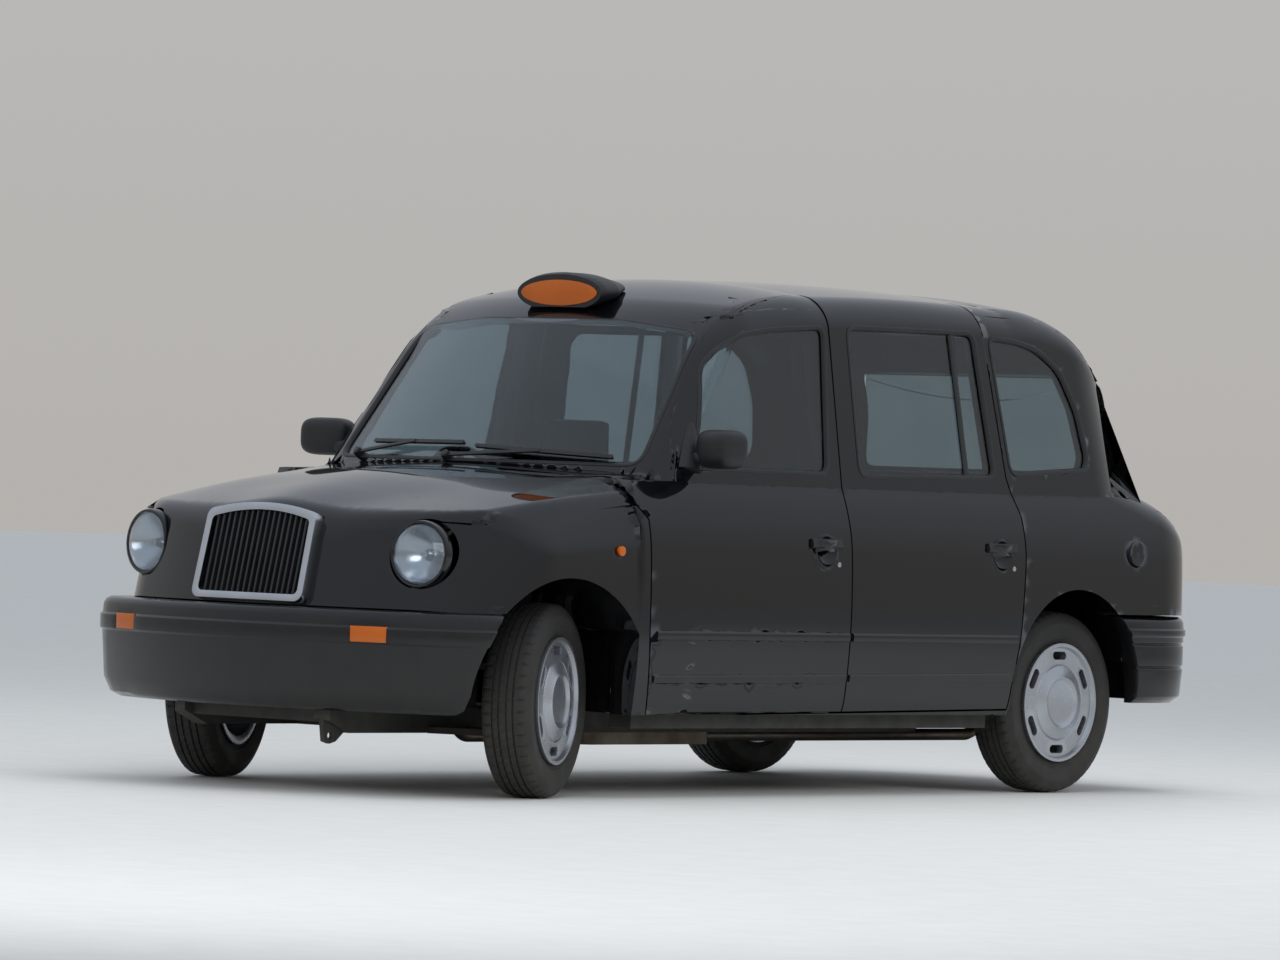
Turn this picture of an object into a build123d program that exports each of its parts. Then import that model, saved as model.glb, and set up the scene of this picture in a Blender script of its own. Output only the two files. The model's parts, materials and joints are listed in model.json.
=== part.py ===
"""A four-door purpose-built taxi cab: hollow body with separate panels, hung doors, running gear and seats.

Millimetres. X is across the car with its left side positive, Y runs from the front bumper (negative) to the rear one
and Z is up from the ground. The origin is on the ground, at the middle of the car's length and width.
"""

from build123d import *

import os

os.makedirs("parts", exist_ok=True)

# Overall sizes
OVERALL_LENGTH = 4575
FRONT_OVERHANG = 765
WHEELBASE = 2886
NOSE_Y = -OVERALL_LENGTH / 2
TAIL_Y = OVERALL_LENGTH / 2
FRONT_AXLE_Y = NOSE_Y + FRONT_OVERHANG
REAR_AXLE_Y = FRONT_AXLE_Y + WHEELBASE

# Heights
SILL_Z = 292
FLOOR_Z = 330
WAIST_Z = 1096
ROOF_Z = 1832

# Half-widths of the body side at its named heights
SIDE_HALF = 889
SHOULDER_HALF = 882
WAIST_HALF = 823
CANT_HALF = 741

# Wall thicknesses and gaps
WALL = 58
ROOF_WALL = 40
PANEL = 26
GAP = 7
SEAM = 0.3
REBATE = 16
REBATE_DEPTH = 24
GLASS_DEPTH = 10
GLASS_T = 6
LINER_T = 14

# Wheels and steering
TYRE_R = 334
TYRE_WIDTH = 178
RIM_R = 214
TRACK_HALF = 712
AXLE_Z = TYRE_R
KINGPIN_X = 622
STEER_REST = 22
WELL_R = 392
WELL_INNER_X = 374
WELL_TOP_Z = 745

# Wheel arches: middle from its axle, height of the middle and radius
FRONT_ARCH = (0, 316, 440)
REAR_ARCH = (-20, 380, 372)

# Outlines cut tools run past the body by this much
PAST = 60


def front(y):
    """A place given from the front axle."""
    return FRONT_AXLE_Y + y


def rear(y):
    """A place given from the rear axle."""
    return REAR_AXLE_Y + y


COWL_Y = front(361)
B_LINE_Y = front(1527)


def side_plate(points, low, high, grow=0, radius=0):
    """A solid with a side-view outline of (y, z) points, between two places across the car."""
    with BuildPart() as part:
        with BuildSketch(Plane.YZ.offset(low)):
            with BuildLine():
                Polyline(*points, close=True)
            make_face()
            if grow:
                offset(amount=grow, kind=Kind.INTERSECTION)
            if radius:
                fillet(vertices(), radius=radius)
        extrude(amount=high - low)
    return part.part


def front_plate(points, low, high, grow=0, radius=0):
    """A solid with a front-view outline of (x, z) points, between two places along the car."""
    with BuildPart() as part:
        with BuildSketch(Plane.XZ.offset(-low)):
            with BuildLine():
                Polyline(*points, close=True)
            make_face()
            if grow:
                offset(amount=grow, kind=Kind.INTERSECTION)
            if radius:
                fillet(vertices(), radius=radius)
        extrude(amount=low - high)
    return part.part


def top_plate(points, low, high, radius=0):
    """A solid with a plan outline of (x, y) points, between two heights."""
    with BuildPart() as part:
        with BuildSketch(Plane.XY.offset(low)):
            with BuildLine():
                Polyline(*points, close=True)
            make_face()
            if radius:
                fillet(vertices(), radius=radius)
        extrude(amount=high - low)
    return part.part


def block(x, y, z, radius=0):
    """A box from its low and high sides along each axis, with its upright edges rounded by the radius."""
    corners = [(x[0], y[0]), (x[1], y[0]), (x[1], y[1]), (x[0], y[1])]
    return top_plate(corners, z[0], z[1], radius)


def bar(start, end, radius):
    """A round bar between two points."""
    path = Vector(*end) - Vector(*start)
    with BuildPart() as part:
        with BuildSketch(Plane(origin=start, z_dir=path)):
            Circle(radius)
        extrude(amount=path.length)
    return part.part


def common(first, second):
    """What two solids share."""
    with BuildPart() as part:
        add(first)
        add(second, mode=Mode.INTERSECT)
    return part.part


# The cab's outer and inner forms


def lower_body(inset, floor_z, nose_y):
    """The body below the waist as a closed solid, its walls moved in by the inset."""
    with BuildPart() as part:
        with BuildSketch(Plane.XZ.offset(-nose_y)):
            with BuildLine():
                side = SIDE_HALF - inset
                Polyline((0, WAIST_Z - inset), (0, floor_z), (side - 42, floor_z), (side - 25, 320 + inset / 2))
                ThreePointArc((side - 25, 320 + inset / 2), (side, 640), (SHOULDER_HALF - inset, 870))
                ThreePointArc(
                    (SHOULDER_HALF - inset, 870),
                    (859 - inset, 992 - inset / 2),
                    (WAIST_HALF - inset, WAIST_Z - inset),
                )
                Line((WAIST_HALF - inset, WAIST_Z - inset), (0, WAIST_Z - inset))
            make_face()
        extrude(amount=nose_y - TAIL_Y)
        mirror(about=Plane.YZ)
        tail = rear(806) - inset
        wide = SIDE_HALF + 2 - inset
        with BuildSketch(Plane.XY.offset(floor_z - 10)):
            with BuildLine():
                Polyline((-wide, tail), (-wide, nose_y - 10), (wide, nose_y - 10), (wide, tail))
                ThreePointArc((wide, tail), (0, tail + 84), (-wide, tail))
            face = make_face()
            fillet(face.vertices().group_by(Axis.Y)[-1], radius=330 - inset)
        extrude(amount=WAIST_Z + 20 - floor_z, mode=Mode.INTERSECT)
        deck_foot = (rear(905) - inset, 845)
        deck_turn = (rear(858) - inset, 942 - inset)
        deck_edge = (rear(745) - inset, 1014 - inset)
        deck_head = (rear(520), WAIST_Z + 1 - inset)
        with BuildSketch(Plane.YZ.offset(-SIDE_HALF - PAST)):
            with BuildLine():
                Polyline(
                    deck_head,
                    (nose_y - 10, WAIST_Z + 1 - inset),
                    (nose_y - 10, floor_z - 20),
                    (rear(905) - inset, floor_z - 20),
                    deck_foot,
                )
                ThreePointArc(deck_foot, deck_turn, deck_edge)
                Line(deck_edge, deck_head)
            make_face()
        extrude(amount=2 * (SIDE_HALF + PAST), mode=Mode.INTERSECT)
    return part.part


# Plan sections of the cab above the waist: height, half-width, windscreen and tail at the middle of the car
GREENHOUSE = (
    (WAIST_Z, WAIST_HALF, front(374), rear(560)),
    (1640, CANT_HALF - 2, front(807), rear(470)),
    (1880, CANT_HALF - 38, front(998), rear(425)),
)
SCREEN_CROWN = 1780
TAIL_CROWN = 110


def greenhouse_plan(z, half, nose, tail, inset):
    """Plan section of the cab above the waist at one height."""
    with BuildSketch(Plane.XY.offset(z)) as sketch:
        with BuildLine():
            wide = half - inset
            low = nose + half * half / (2 * SCREEN_CROWN) + inset
            high = tail - TAIL_CROWN - inset
            ThreePointArc((-wide, low), (0, nose + inset), (wide, low))
            Line((wide, low), (wide, high))
            ThreePointArc((wide, high), (0, tail - inset), (-wide, high))
            Line((-wide, high), (-wide, low))
        face = make_face()
        fillet(face.vertices().group_by(Axis.Y)[0], radius=110 - inset)
        fillet(face.vertices().group_by(Axis.Y)[-1], radius=300 - inset)
    return sketch.sketch


# The roof's middle line from the windscreen to the rear window: place and height, with its share of the wall there
ROOF_LINE = (
    (front(840), 1668, 0.62, 0.78),
    (front(1085), 1768, 0.3, 0.95),
    (front(1500), 1821, 0.05, 1),
    (front(2050), ROOF_Z, 0, 1),
    (rear(-286), 1818, -0.1, 1),
    (rear(134), 1748, -0.4, 0.9),
    (rear(400), 1561, -0.9, 0.4),
)


def greenhouse(inset, drop):
    """The cab above the waist as a closed solid, its walls moved in by the inset and its roof down by the drop."""
    with BuildPart() as part:
        loft([greenhouse_plan(*row, inset) for row in GREENHOUSE], ruled=True)
        line = [(y + u * drop, z - w * drop) for y, z, u, w in ROOF_LINE]
        with BuildSketch(Plane.YZ.offset(-SIDE_HALF)):
            with BuildLine():
                Polyline((rear(700), WAIST_Z - 1), (front(100), WAIST_Z - 1), line[0])
                ThreePointArc(*line[0:3])
                ThreePointArc(*line[2:5])
                ThreePointArc(*line[4:7])
                Polyline(line[6], (rear(700), 1200), (rear(700), WAIST_Z - 1))
            make_face()
        extrude(amount=2 * SIDE_HALF, mode=Mode.INTERSECT)
        cant = (CANT_HALF + 1.5 - inset, 1625)
        knee = (702 - inset * 0.8, 1722 - drop * 0.6)
        edge = (600 - inset * 0.3, 1786 - drop)
        crown = (0, ROOF_Z + 1 - drop)
        with BuildSketch(Plane.XZ.offset(-front(0))):
            with BuildLine():
                Polyline(
                    cant,
                    (WAIST_HALF + PAST, WAIST_Z - 1),
                    (-WAIST_HALF - PAST, WAIST_Z - 1),
                    (-cant[0], cant[1]),
                )
                ThreePointArc((-cant[0], cant[1]), (-knee[0], knee[1]), (-edge[0], edge[1]))
                ThreePointArc((-edge[0], edge[1]), crown, edge)
                ThreePointArc(edge, knee, cant)
            make_face()
        extrude(amount=-OVERALL_LENGTH, mode=Mode.INTERSECT)
    return part.part


# Front sections: place from the axle, side top, crest across and up, bulge across and up, middle height
FRONT_SECTIONS = (
    (375, 880, 800, 1062, 600, 1108, 1134),
    (0, 862, 786, 1024, 470, 1072, 1102),
    (-300, 836, 742, 980, 366, 1014, 1048),
    (-520, 806, 660, 944, 285, 962, 992),
    (-720, 776, 600, 910, 235, 900, 930),
)


def front_form(inset, nose_inset):
    """The closed form of the wings and bonnet ahead of the cowl, its sides and top moved in by the inset."""
    with BuildPart() as part:
        sections = []
        for y, top, crest_x, crest_z, bulge_x, bulge_z, middle_z in FRONT_SECTIONS:
            with BuildSketch(Plane.XZ.offset(-front(y)), mode=Mode.PRIVATE) as section:
                with BuildLine():
                    side = SIDE_HALF - inset
                    base = (side - 25, SILL_Z)
                    shoulder = (side - 9, top)
                    crest = (crest_x - inset, crest_z - inset)
                    turn = (crest[0] + 0.68 * (shoulder[0] - crest[0]), top + 0.62 * (crest[1] - top))
                    bulge = (bulge_x - inset, bulge_z - inset)
                    Line((-base[0], SILL_Z), base)
                    ThreePointArc(base, (side, 620), shoulder)
                    ThreePointArc(shoulder, turn, crest)
                    Line(crest, bulge)
                    ThreePointArc(bulge, (0, middle_z - inset), (-bulge[0], bulge[1]))
                    Line((-bulge[0], bulge[1]), (-crest[0], crest[1]))
                    ThreePointArc((-crest[0], crest[1]), (-turn[0], turn[1]), (-shoulder[0], top))
                    ThreePointArc((-shoulder[0], top), (-side, 620), (-base[0], SILL_Z))
                make_face()
            sections.append(section.sketch)
        loft(sections, ruled=True)
        # The nose leans back and rounds into the sides
        plans = []
        for z, nose in ((SILL_Z - 5, -738), (1200, -526)):
            with BuildSketch(Plane.XY.offset(z), mode=Mode.PRIVATE) as plan:
                with BuildLine():
                    wide = SIDE_HALF + 2 - inset
                    tip = front(nose) + nose_inset
                    corner = tip + 262
                    Polyline((wide, corner), (wide, COWL_Y), (-wide, COWL_Y), (-wide, corner))
                    ThreePointArc((-wide, corner), (0, tip), (wide, corner))
                face = make_face()
                fillet(face.vertices().group_by(Axis.Y)[0], radius=300 - inset)
            plans.append(plan.sketch)
        loft(plans, ruled=True, mode=Mode.INTERSECT)
    return part.part


# Side-view outlines of the doors, from the foot of the front edge round by the top
FRONT_DOOR = (
    (front(441), 294),
    (front(420), 584),
    (front(418), 965),
    (front(365), 1014),
    (front(365), 1102),
    (front(606), 1102),
    (front(836), 1622),
    (front(907), 1668),
    (front(1021), 1711),
    (front(1202), 1748),
    (front(1431), 1774),
    (B_LINE_Y - GAP, 1777),
    (B_LINE_Y - GAP, 304),
)
REAR_DOOR = (
    (B_LINE_Y, 304),
    (B_LINE_Y, 1778),
    (rear(-470), 1782),
    (rear(-470), 1684),
    (rear(-400), 1149),
    (rear(-378), 1097),
    (rear(-350), 1010),
    (rear(-350), 849),
    (rear(-371), 565),
    (rear(-400), 400),
    (rear(-408), 314),
)
ROOF_SEAM = FRONT_DOOR[6:12] + REAR_DOOR[2:3] + ((rear(-90), 1762), (rear(130), 1690), (rear(300), 1585))

# Side-view outlines of the windows
FRONT_WINDOW = (
    (front(702), 1146),
    (front(784), 1340),
    (front(846), 1500),
    (front(925), 1570),
    (front(1043), 1623),
    (front(1204), 1648),
    (B_LINE_Y - 26, 1666),
    (B_LINE_Y - 72, 1140),
)
REAR_WINDOW = (
    (B_LINE_Y + 100, 1672),
    (rear(-516), 1676),
    (rear(-458), 1150),
    (B_LINE_Y + 104, 1138),
)
QUARTER_WINDOW = (
    (rear(-366), 1162),
    (rear(-434), 1664),
    (rear(-270), 1656),
    (rear(-136), 1628),
    (rear(-12), 1556),
    (rear(74), 1410),
    (rear(114), 1240),
    (rear(92), 1190),
)
# Front-view outlines of the windscreen and the window in the tail
WINDSCREEN = ((-702, 1146), (702, 1146), (640, 1622), (330, 1658), (-330, 1658), (-640, 1622))
TAIL_WINDOW = ((-560, 1172), (560, 1172), (500, 1560), (-500, 1560))
BOOT = ((-470, 690), (470, 690), (520, 860), (520, 1040), (-520, 1040), (-520, 860))

def cab_form(inset, drop, floor_z=SILL_Z, nose_y=COWL_Y):
    """The whole cab as one closed form, moved in by the inset and down by the drop."""
    with BuildPart() as part:
        add(lower_body(inset, floor_z, nose_y))
        add(greenhouse(inset, drop))
        if inset > 0:
            neck = greenhouse_plan(*GREENHOUSE[0], inset)
            extrude(neck, amount=-inset - 20)
            extrude(neck, amount=4)
    return part.part


# The cab's surfaces by depth
outer_form = cab_form(0, 0)
rebate_form = cab_form(REBATE_DEPTH, REBATE_DEPTH * ROOF_WALL / WALL)
inner_form = cab_form(WALL, ROOF_WALL, FLOOR_Z, COWL_Y + WALL)
glass_outer = cab_form(GLASS_DEPTH, GLASS_DEPTH * 0.7)
glass_inner = cab_form(GLASS_DEPTH + GLASS_T, (GLASS_DEPTH + GLASS_T) * 0.7)
skin_layer = outer_form - rebate_form
inner_layer = rebate_form - inner_form
glass_layer = glass_outer - glass_inner

# Front-view limits of the doors, so that they take the wall and none of the floor or the cowl
DOOR_LIMIT = (
    (804, 270),
    (804, 420),
    (765, 900),
    (742, 1100),
    (668, 1640),
    (600, 1700),
    (470, 1800),
    (960, 1800),
    (960, 270),
)


def door_zone(outline, grow=0):
    """The space that a left door's outline takes through the wall, grown all round."""
    low, high = min(p[0] for p in outline) - PAST, max(p[0] for p in outline) + PAST
    zone = side_plate(outline, 300, 960, grow)
    return common(zone, front_plate(DOOR_LIMIT, low, high, max(grow, 0) * 1.4))


def opening(outline, grow=0, radius=45):
    """A window's space through the left wall, from its side view."""
    return side_plate(outline, 300, 960, grow, radius)


def arch_cut(axle_y, arch, low, high, grow=0):
    """The space of a wheel arch: round above its middle and straight down below it."""
    offset_y, middle_z, radius = arch
    with BuildPart() as part:
        with BuildSketch(Plane.YZ.offset(low)):
            with Locations((axle_y + offset_y, middle_z)):
                Circle(radius + grow)
            with Locations((axle_y + offset_y, middle_z - 150)):
                Rectangle(2 * (radius + grow), 300)
        extrude(amount=high - low)
    return part.part


rear_arch = arch_cut(REAR_AXLE_Y, REAR_ARCH, 592, 900)
front_arch = arch_cut(FRONT_AXLE_Y, FRONT_ARCH, 380, 960)
window_cuts = {
    "front": opening(FRONT_WINDOW),
    "rear": opening(REAR_WINDOW),
    "quarter": opening(QUARTER_WINDOW),
}
windscreen_cut = front_plate(WINDSCREEN, front(200), front(1150), 0, 55)
tail_window_cut = front_plate(TAIL_WINDOW, rear(250), rear(700), 0, 55)
boot_cut = front_plate(BOOT, rear(560), rear(1000), 0, 40)

POST_INNER_X = 590
# Where the bumper takes over from the body behind the rear wheels
REAR_BUMPER_TOP = 656
REAR_BUMPER_BASE = 335
REAR_FLOOR_Z = 500
REAR_FLOOR_Y = rear(-414)
TAIL_SPLIT_X = 600


# Door furniture: rub strips as low and high side and how far out, and the handle's bowl and flap
RUB_STRIPS = (
    (551, 580, SIDE_HALF + 6),
    (400, 430, SIDE_HALF - 6),
)
RUB_STRIP_BED = 14
HANDLE_Z = 868
HANDLE_BOWL_R = 54
HANDLE_BOWL_DEPTH = 18
HANDLE_FLAP = (176, 40, 9)


# The doors turn about upright lines at the body side. Each row is a height, how far out the skin is there and where
# the door's rear edge is, so that the edge can follow the circle it swings on
DOOR_HINGE_X = SIDE_HALF + 1
FRONT_DOOR_HINGE_Y = front(357)
REAR_DOOR_HINGE_Y = B_LINE_Y - 2
FRONT_DOOR_EDGE = tuple(
    (z, x, B_LINE_Y - GAP - cut_back)
    for z, x, cut_back in (
        (250, 864, 0),
        (640, SIDE_HALF, 0),
        (870, SHOULDER_HALF, 0),
        (WAIST_Z, WAIST_HALF, 0),
        (1600, 755, 0),
        (1680, 728, 2),
        (1722, 702, 5),
        (1755, 668, 8),
        (1790, 596, 11),
    )
)
REAR_DOOR_EDGE = (
    (250, 864, rear(-408)),
    (400, 876, rear(-400)),
    (565, 888, rear(-371)),
    (849, 883, rear(-350)),
    (1010, 855, rear(-350)),
    (WAIST_Z, WAIST_HALF, rear(-378)),
    (1149, 815, rear(-400)),
    (1640, 741, rear(-464)),
    (1722, 702, rear(-474)),
    (1755, 668, rear(-478)),
    (1790, 596, rear(-482)),
)


def swing_space(hinge_y, edge):
    """The round space about a left door's hinge line, out to the door's rear edge at each height."""
    with BuildPart() as part:
        with BuildSketch(Plane(origin=(DOOR_HINGE_X, hinge_y, 0), x_dir=(1, 0, 0), z_dir=(0, -1, 0))):
            rim = [(((DOOR_HINGE_X - x) ** 2 + (y - hinge_y) ** 2) ** 0.5, z) for z, x, y in edge]
            with BuildLine():
                Polyline((0, edge[0][0]), *rim, (0, edge[-1][0]), close=True)
            make_face()
        revolve(axis=Axis((DOOR_HINGE_X, hinge_y, 0), (0, 0, 1)))
    return part.part


def door(outline, window, strip_ends, handle_y, swing):
    """A left door: a skin to its outline and an inner part that is smaller by the rebate, its window cut."""
    with BuildPart() as part:
        add(common(skin_layer, door_zone(outline)))
        add(common(inner_layer, door_zone(outline, -REBATE)))
        add(window_cuts[window], mode=Mode.SUBTRACT)
        add(swing, mode=Mode.INTERSECT)
        for low, high, out in RUB_STRIPS:
            add(block((out - RUB_STRIP_BED, out), strip_ends, (low, high)))
        with BuildSketch(Plane.YZ.offset(SHOULDER_HALF + 2 - HANDLE_BOWL_DEPTH)):
            with Locations((handle_y, HANDLE_Z)):
                Circle(HANDLE_BOWL_R)
        extrude(amount=HANDLE_BOWL_DEPTH * 2, mode=Mode.SUBTRACT)
        long, high, out = HANDLE_FLAP
        flap_x = SHOULDER_HALF - 4
        with BuildSketch(Plane.YZ.offset(flap_x)):
            with Locations((handle_y, HANDLE_Z + high / 2)):
                RectangleRounded(long, high, high * 0.4)
        extrude(amount=SIDE_HALF + out - flap_x)
    return part.part


def save(solid, name):
    """Write one finished piece."""
    solid.label = name
    export_step(solid, f"parts/{name}.step")
    return solid


def save_pair(solid, name):
    """Write a left piece and its mirror image as the right one."""
    save(solid, f"{name}_left")
    save(mirror(solid, about=Plane.YZ), f"{name}_right")


def save_twins(solid, name):
    """Write a left piece and its mirror image together as one piece's two solids."""
    save(Compound(children=[Part() + solid, Part() + mirror(solid, about=Plane.YZ)]), name)


# Doors and their glass
front_door = door(
    FRONT_DOOR,
    "front",
    (front(452), B_LINE_Y - GAP - 8),
    front(1376),
    swing_space(FRONT_DOOR_HINGE_Y, FRONT_DOOR_EDGE),
)
rear_door = door(
    REAR_DOOR,
    "rear",
    (B_LINE_Y + 8, rear(-404)),
    rear(-492),
    swing_space(REAR_DOOR_HINGE_Y, REAR_DOOR_EDGE),
)
save_pair(front_door, "door_front")
save_pair(rear_door, "door_rear")
front_glass = common(glass_layer, opening(FRONT_WINDOW, -SEAM))
rear_glass = common(glass_layer, opening(REAR_WINDOW, -SEAM))
save_pair(front_glass, "glass_front")
save_pair(rear_glass, "glass_rear")

# Space that the steered wheels sweep
with BuildPart() as well:
    with BuildSketch(Plane.XY):
        with Locations((KINGPIN_X, FRONT_AXLE_Y), (-KINGPIN_X, FRONT_AXLE_Y)):
            Circle(WELL_R)
    extrude(amount=WELL_TOP_Z)
well = well.part

# Hinges of the bonnet and the boot lid: place and height of the axis, radius, and where the halves meet
BONNET_HINGE = (COWL_Y - GAP / 2, 1134, 2.8)
BONNET_HINGE_X = 110
BOOT_HINGE = (rear(686), 1041, 8)
BOOT_HINGE_X = 330


def hinge_pin(side, hinge, start, length, neck):
    """Half of a hinge: a pin on the axis from its start outwards, with a neck to what carries it."""
    y, z, radius = hinge
    low, high = sorted((side * start, side * (start + length)))
    with BuildPart() as part:
        with BuildSketch(Plane.YZ.offset(low)):
            with Locations((y, z)):
                Circle(radius)
            with BuildLine():
                Polyline(*((y + a, z + b) for a, b in neck), close=True)
            make_face()
        extrude(amount=high - low)
    return part.part


glass_zone = front_plate(WINDSCREEN, front(100), front(1150), 0, 55)

# The shell with its openings, then split into its panels
with BuildPart() as shell:
    add(outer_form)
    add(inner_form, mode=Mode.SUBTRACT)
    for zone in (
        door_zone(FRONT_DOOR, GAP),
        door_zone(REAR_DOOR, GAP),
        rear_arch,
        window_cuts["quarter"],
    ):
        add(zone, mode=Mode.SUBTRACT)
        add(mirror(zone, about=Plane.YZ), mode=Mode.SUBTRACT)
    add(well, mode=Mode.SUBTRACT)
    add(windscreen_cut, mode=Mode.SUBTRACT)
    add(tail_window_cut, mode=Mode.SUBTRACT)
    add(boot_cut, mode=Mode.SUBTRACT)
    # The floor ends where it steps up for the rear axle, and the bumper closes the body behind the wheels
    add(block((-790, 790), (REAR_FLOOR_Y, TAIL_Y), (SILL_Z - 5, FLOOR_Z)), mode=Mode.SUBTRACT)
    add(
        block((-900, 900), (REAR_AXLE_Y, TAIL_Y + 5), (SILL_Z - 5, REAR_BUMPER_TOP + GAP)),
        mode=Mode.SUBTRACT,
    )
shell = shell.part

ROOF_MIDDLE_HALF = 560
roof_rim = ROOF_SEAM + ((rear(500), 1560), (rear(700), 1900), (front(600), 1900), (front(600), 1622))
with BuildPart() as roof_zone:
    add(side_plate(roof_rim, -950, 950))
    add(block((-ROOF_MIDDLE_HALF, ROOF_MIDDLE_HALF), (front(836), rear(130)), (1600, 1900)))
roof_zone = roof_zone.part
SCREEN_FOOT_Z = WINDSCREEN[0][1] + 6
with BuildPart() as scuttle_zone:
    add(block((-740, 740), (COWL_Y - 5, front(700)), (SILL_Z - 5, WAIST_Z + 0.5)))
    add(block((-690, 690), (COWL_Y - 5, front(700)), (SILL_Z - 5, SCREEN_FOOT_Z)))
scuttle_zone = scuttle_zone.part
FLOOR_TOP = FLOOR_Z + 0.5
floor_zone = block((-790, 790), (front(420), REAR_FLOOR_Y + 20), (SILL_Z - 5, FLOOR_TOP))
tail_zone = block((-TAIL_SPLIT_X, TAIL_SPLIT_X), (rear(200), TAIL_Y + 5), (REAR_BUMPER_TOP, ROOF_Z))

roof = save(common(shell, roof_zone), "roof")
walls = shell - roof_zone
with BuildPart() as scuttle:
    add(common(walls, scuttle_zone))
    # The cowl carries the bonnet's crown on to the foot of the windscreen
    with BuildSketch(Plane.XZ.offset(-COWL_Y)):
        with BuildLine():
            crest = (FRONT_SECTIONS[0][2], FRONT_SECTIONS[0][3])
            bulge = (FRONT_SECTIONS[0][4], FRONT_SECTIONS[0][5])
            foot = (crest[0] - 65, WAIST_Z - 10)
            Polyline((-bulge[0], bulge[1]), (-foot[0], foot[1]), foot, bulge)
            ThreePointArc(bulge, (0, FRONT_SECTIONS[0][6] - 1), (-bulge[0], bulge[1]))
        make_face()
    extrude(amount=-260)
    add(inner_form, mode=Mode.SUBTRACT)
    add(glass_zone, mode=Mode.SUBTRACT)
    for side in (-1, 1):
        add(hinge_pin(side, BONNET_HINGE, BONNET_HINGE_X + SEAM, 30, ((0, -4), (6, -4), (6, 2.6), (0, 2.6))))
save(scuttle.part, "scuttle")
walls = walls - scuttle_zone
with BuildPart() as floor:
    add(common(walls, floor_zone))
    for side in (-1, 1):
        add(block(sorted((side * 690, side * 788)), (front(450), REAR_FLOOR_Y - 20), (240, SILL_Z)))
    add(block((-574, 574), (REAR_FLOOR_Y, REAR_FLOOR_Y + 16), (SILL_Z, REAR_FLOOR_Z)))
    add(block((-574, 574), (REAR_FLOOR_Y, rear(798)), (REAR_FLOOR_Z - 14, REAR_FLOOR_Z)))
floor = save(floor.part, "floor")
walls = walls - floor_zone
with BuildPart() as tail_panel:
    add(common(walls, tail_zone))
    boot_bracket = ((0, -5), (6, 0), (4, 8), (-40, 18), (-40, 2), (-14, -1))
    for side in (-1, 1):
        add(hinge_pin(side, BOOT_HINGE, BOOT_HINGE_X + SEAM, 30, boot_bracket))
save(tail_panel.part, "tail_panel")
walls = walls - tail_zone
FUEL_CAP_PLACE = (front(3216), 889)
FUEL_CAP_R = 48
FUEL_CAP_X = (862, 887)
TAIL_LAMP = ((616, 700), (742, 700), (732, 884), (622, 884))
TAIL_LAMP_BED = 20
tail_lamp_zone = front_plate(TAIL_LAMP, rear(560), rear(960), SEAM, 24)
with BuildPart() as frame_side:
    add(common(walls, block((0, 950), (NOSE_Y, TAIL_Y), (SILL_Z - 5, ROOF_Z))))
    house = common(arch_cut(REAR_AXLE_Y, REAR_ARCH, 576, 834, LINER_T), inner_form)
    house = house - arch_cut(REAR_AXLE_Y, REAR_ARCH, 592, 900)
    add(house - block((500, 900), (0, TAIL_Y), (0, REAR_FLOOR_Z - 14)))
    with BuildSketch(Plane.YZ.offset(FUEL_CAP_X[0])):
        with Locations(FUEL_CAP_PLACE):
            Circle(FUEL_CAP_R)
    extrude(amount=FUEL_CAP_X[1] - FUEL_CAP_X[0])
    add(tail_lamp_zone - cab_form(TAIL_LAMP_BED + SEAM, 0), mode=Mode.SUBTRACT)
    post_layer = cab_form(WALL + 6, ROOF_WALL) - cab_form(WALL + 44, ROOF_WALL + 30)
    add(common(post_layer, block((POST_INNER_X, 900), (B_LINE_Y - 38, B_LINE_Y + 38), (FLOOR_TOP, 1800))))
# The quarter panel meets the side frame in the sill
QUARTER_SEAM_Y = rear(-886)
side_half = common(frame_side.part, block((0, 950), (NOSE_Y, QUARTER_SEAM_Y), (0, ROOF_Z)))
save_pair(side_half, "side_frame")
quarter_half = common(frame_side.part, block((0, 950), (QUARTER_SEAM_Y + SEAM, TAIL_Y), (0, ROOF_Z)))
save_pair(quarter_half, "quarter_panel")

tail_lamp_layer = cab_form(-5, 0) - cab_form(TAIL_LAMP_BED, 0)
save_twins(common(tail_lamp_layer, front_plate(TAIL_LAMP, rear(560), rear(960), 0, 24)), "tail_lamps")

# Fixed glass
with BuildPart() as fixed_glass:
    add(common(glass_layer, front_plate(WINDSCREEN, front(200), front(1150), -SEAM, 55)))
    add(common(glass_layer, front_plate(TAIL_WINDOW, rear(250), rear(700), -SEAM, 55)))
    quarter_glass = common(glass_layer, opening(QUARTER_WINDOW, -SEAM))
    add(quarter_glass)
    add(mirror(quarter_glass, about=Plane.YZ))
save(fixed_glass.part, "fixed_glass")

BOOT_STRAP = ((0, -8), (0, 8), (12, 6), (36, -14), (30, -26), (8, -12))

# The lid in the tail
with BuildPart() as boot_lid:
    add(common(outer_form - cab_form(PANEL, PANEL), front_plate(BOOT, rear(560), rear(1000), -GAP, 40)))
    for side in (-1, 1):
        add(hinge_pin(side, BOOT_HINGE, BOOT_HINGE_X - 30, 30, BOOT_STRAP))
save(boot_lid.part, "boot_lid")

# The front end's outer and inner forms
front_outer = front_form(0, 0)
front_inner = front_form(PANEL, PANEL)
front_skin = front_outer - front_inner

# Side-view line under the bonnet's edges, from the cowl to over the lamps
BONNET_LINE = (
    (COWL_Y + PAST, 1014),
    (front(361), 1013),
    (front(-120), 966),
    (front(-505), 934),
    (front(-900), 934),
)
NOSE_PANEL_BASE = 634
NOSE_PANEL_HALF = 633
NOSE_PANEL_BACK = front(-400)

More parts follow.
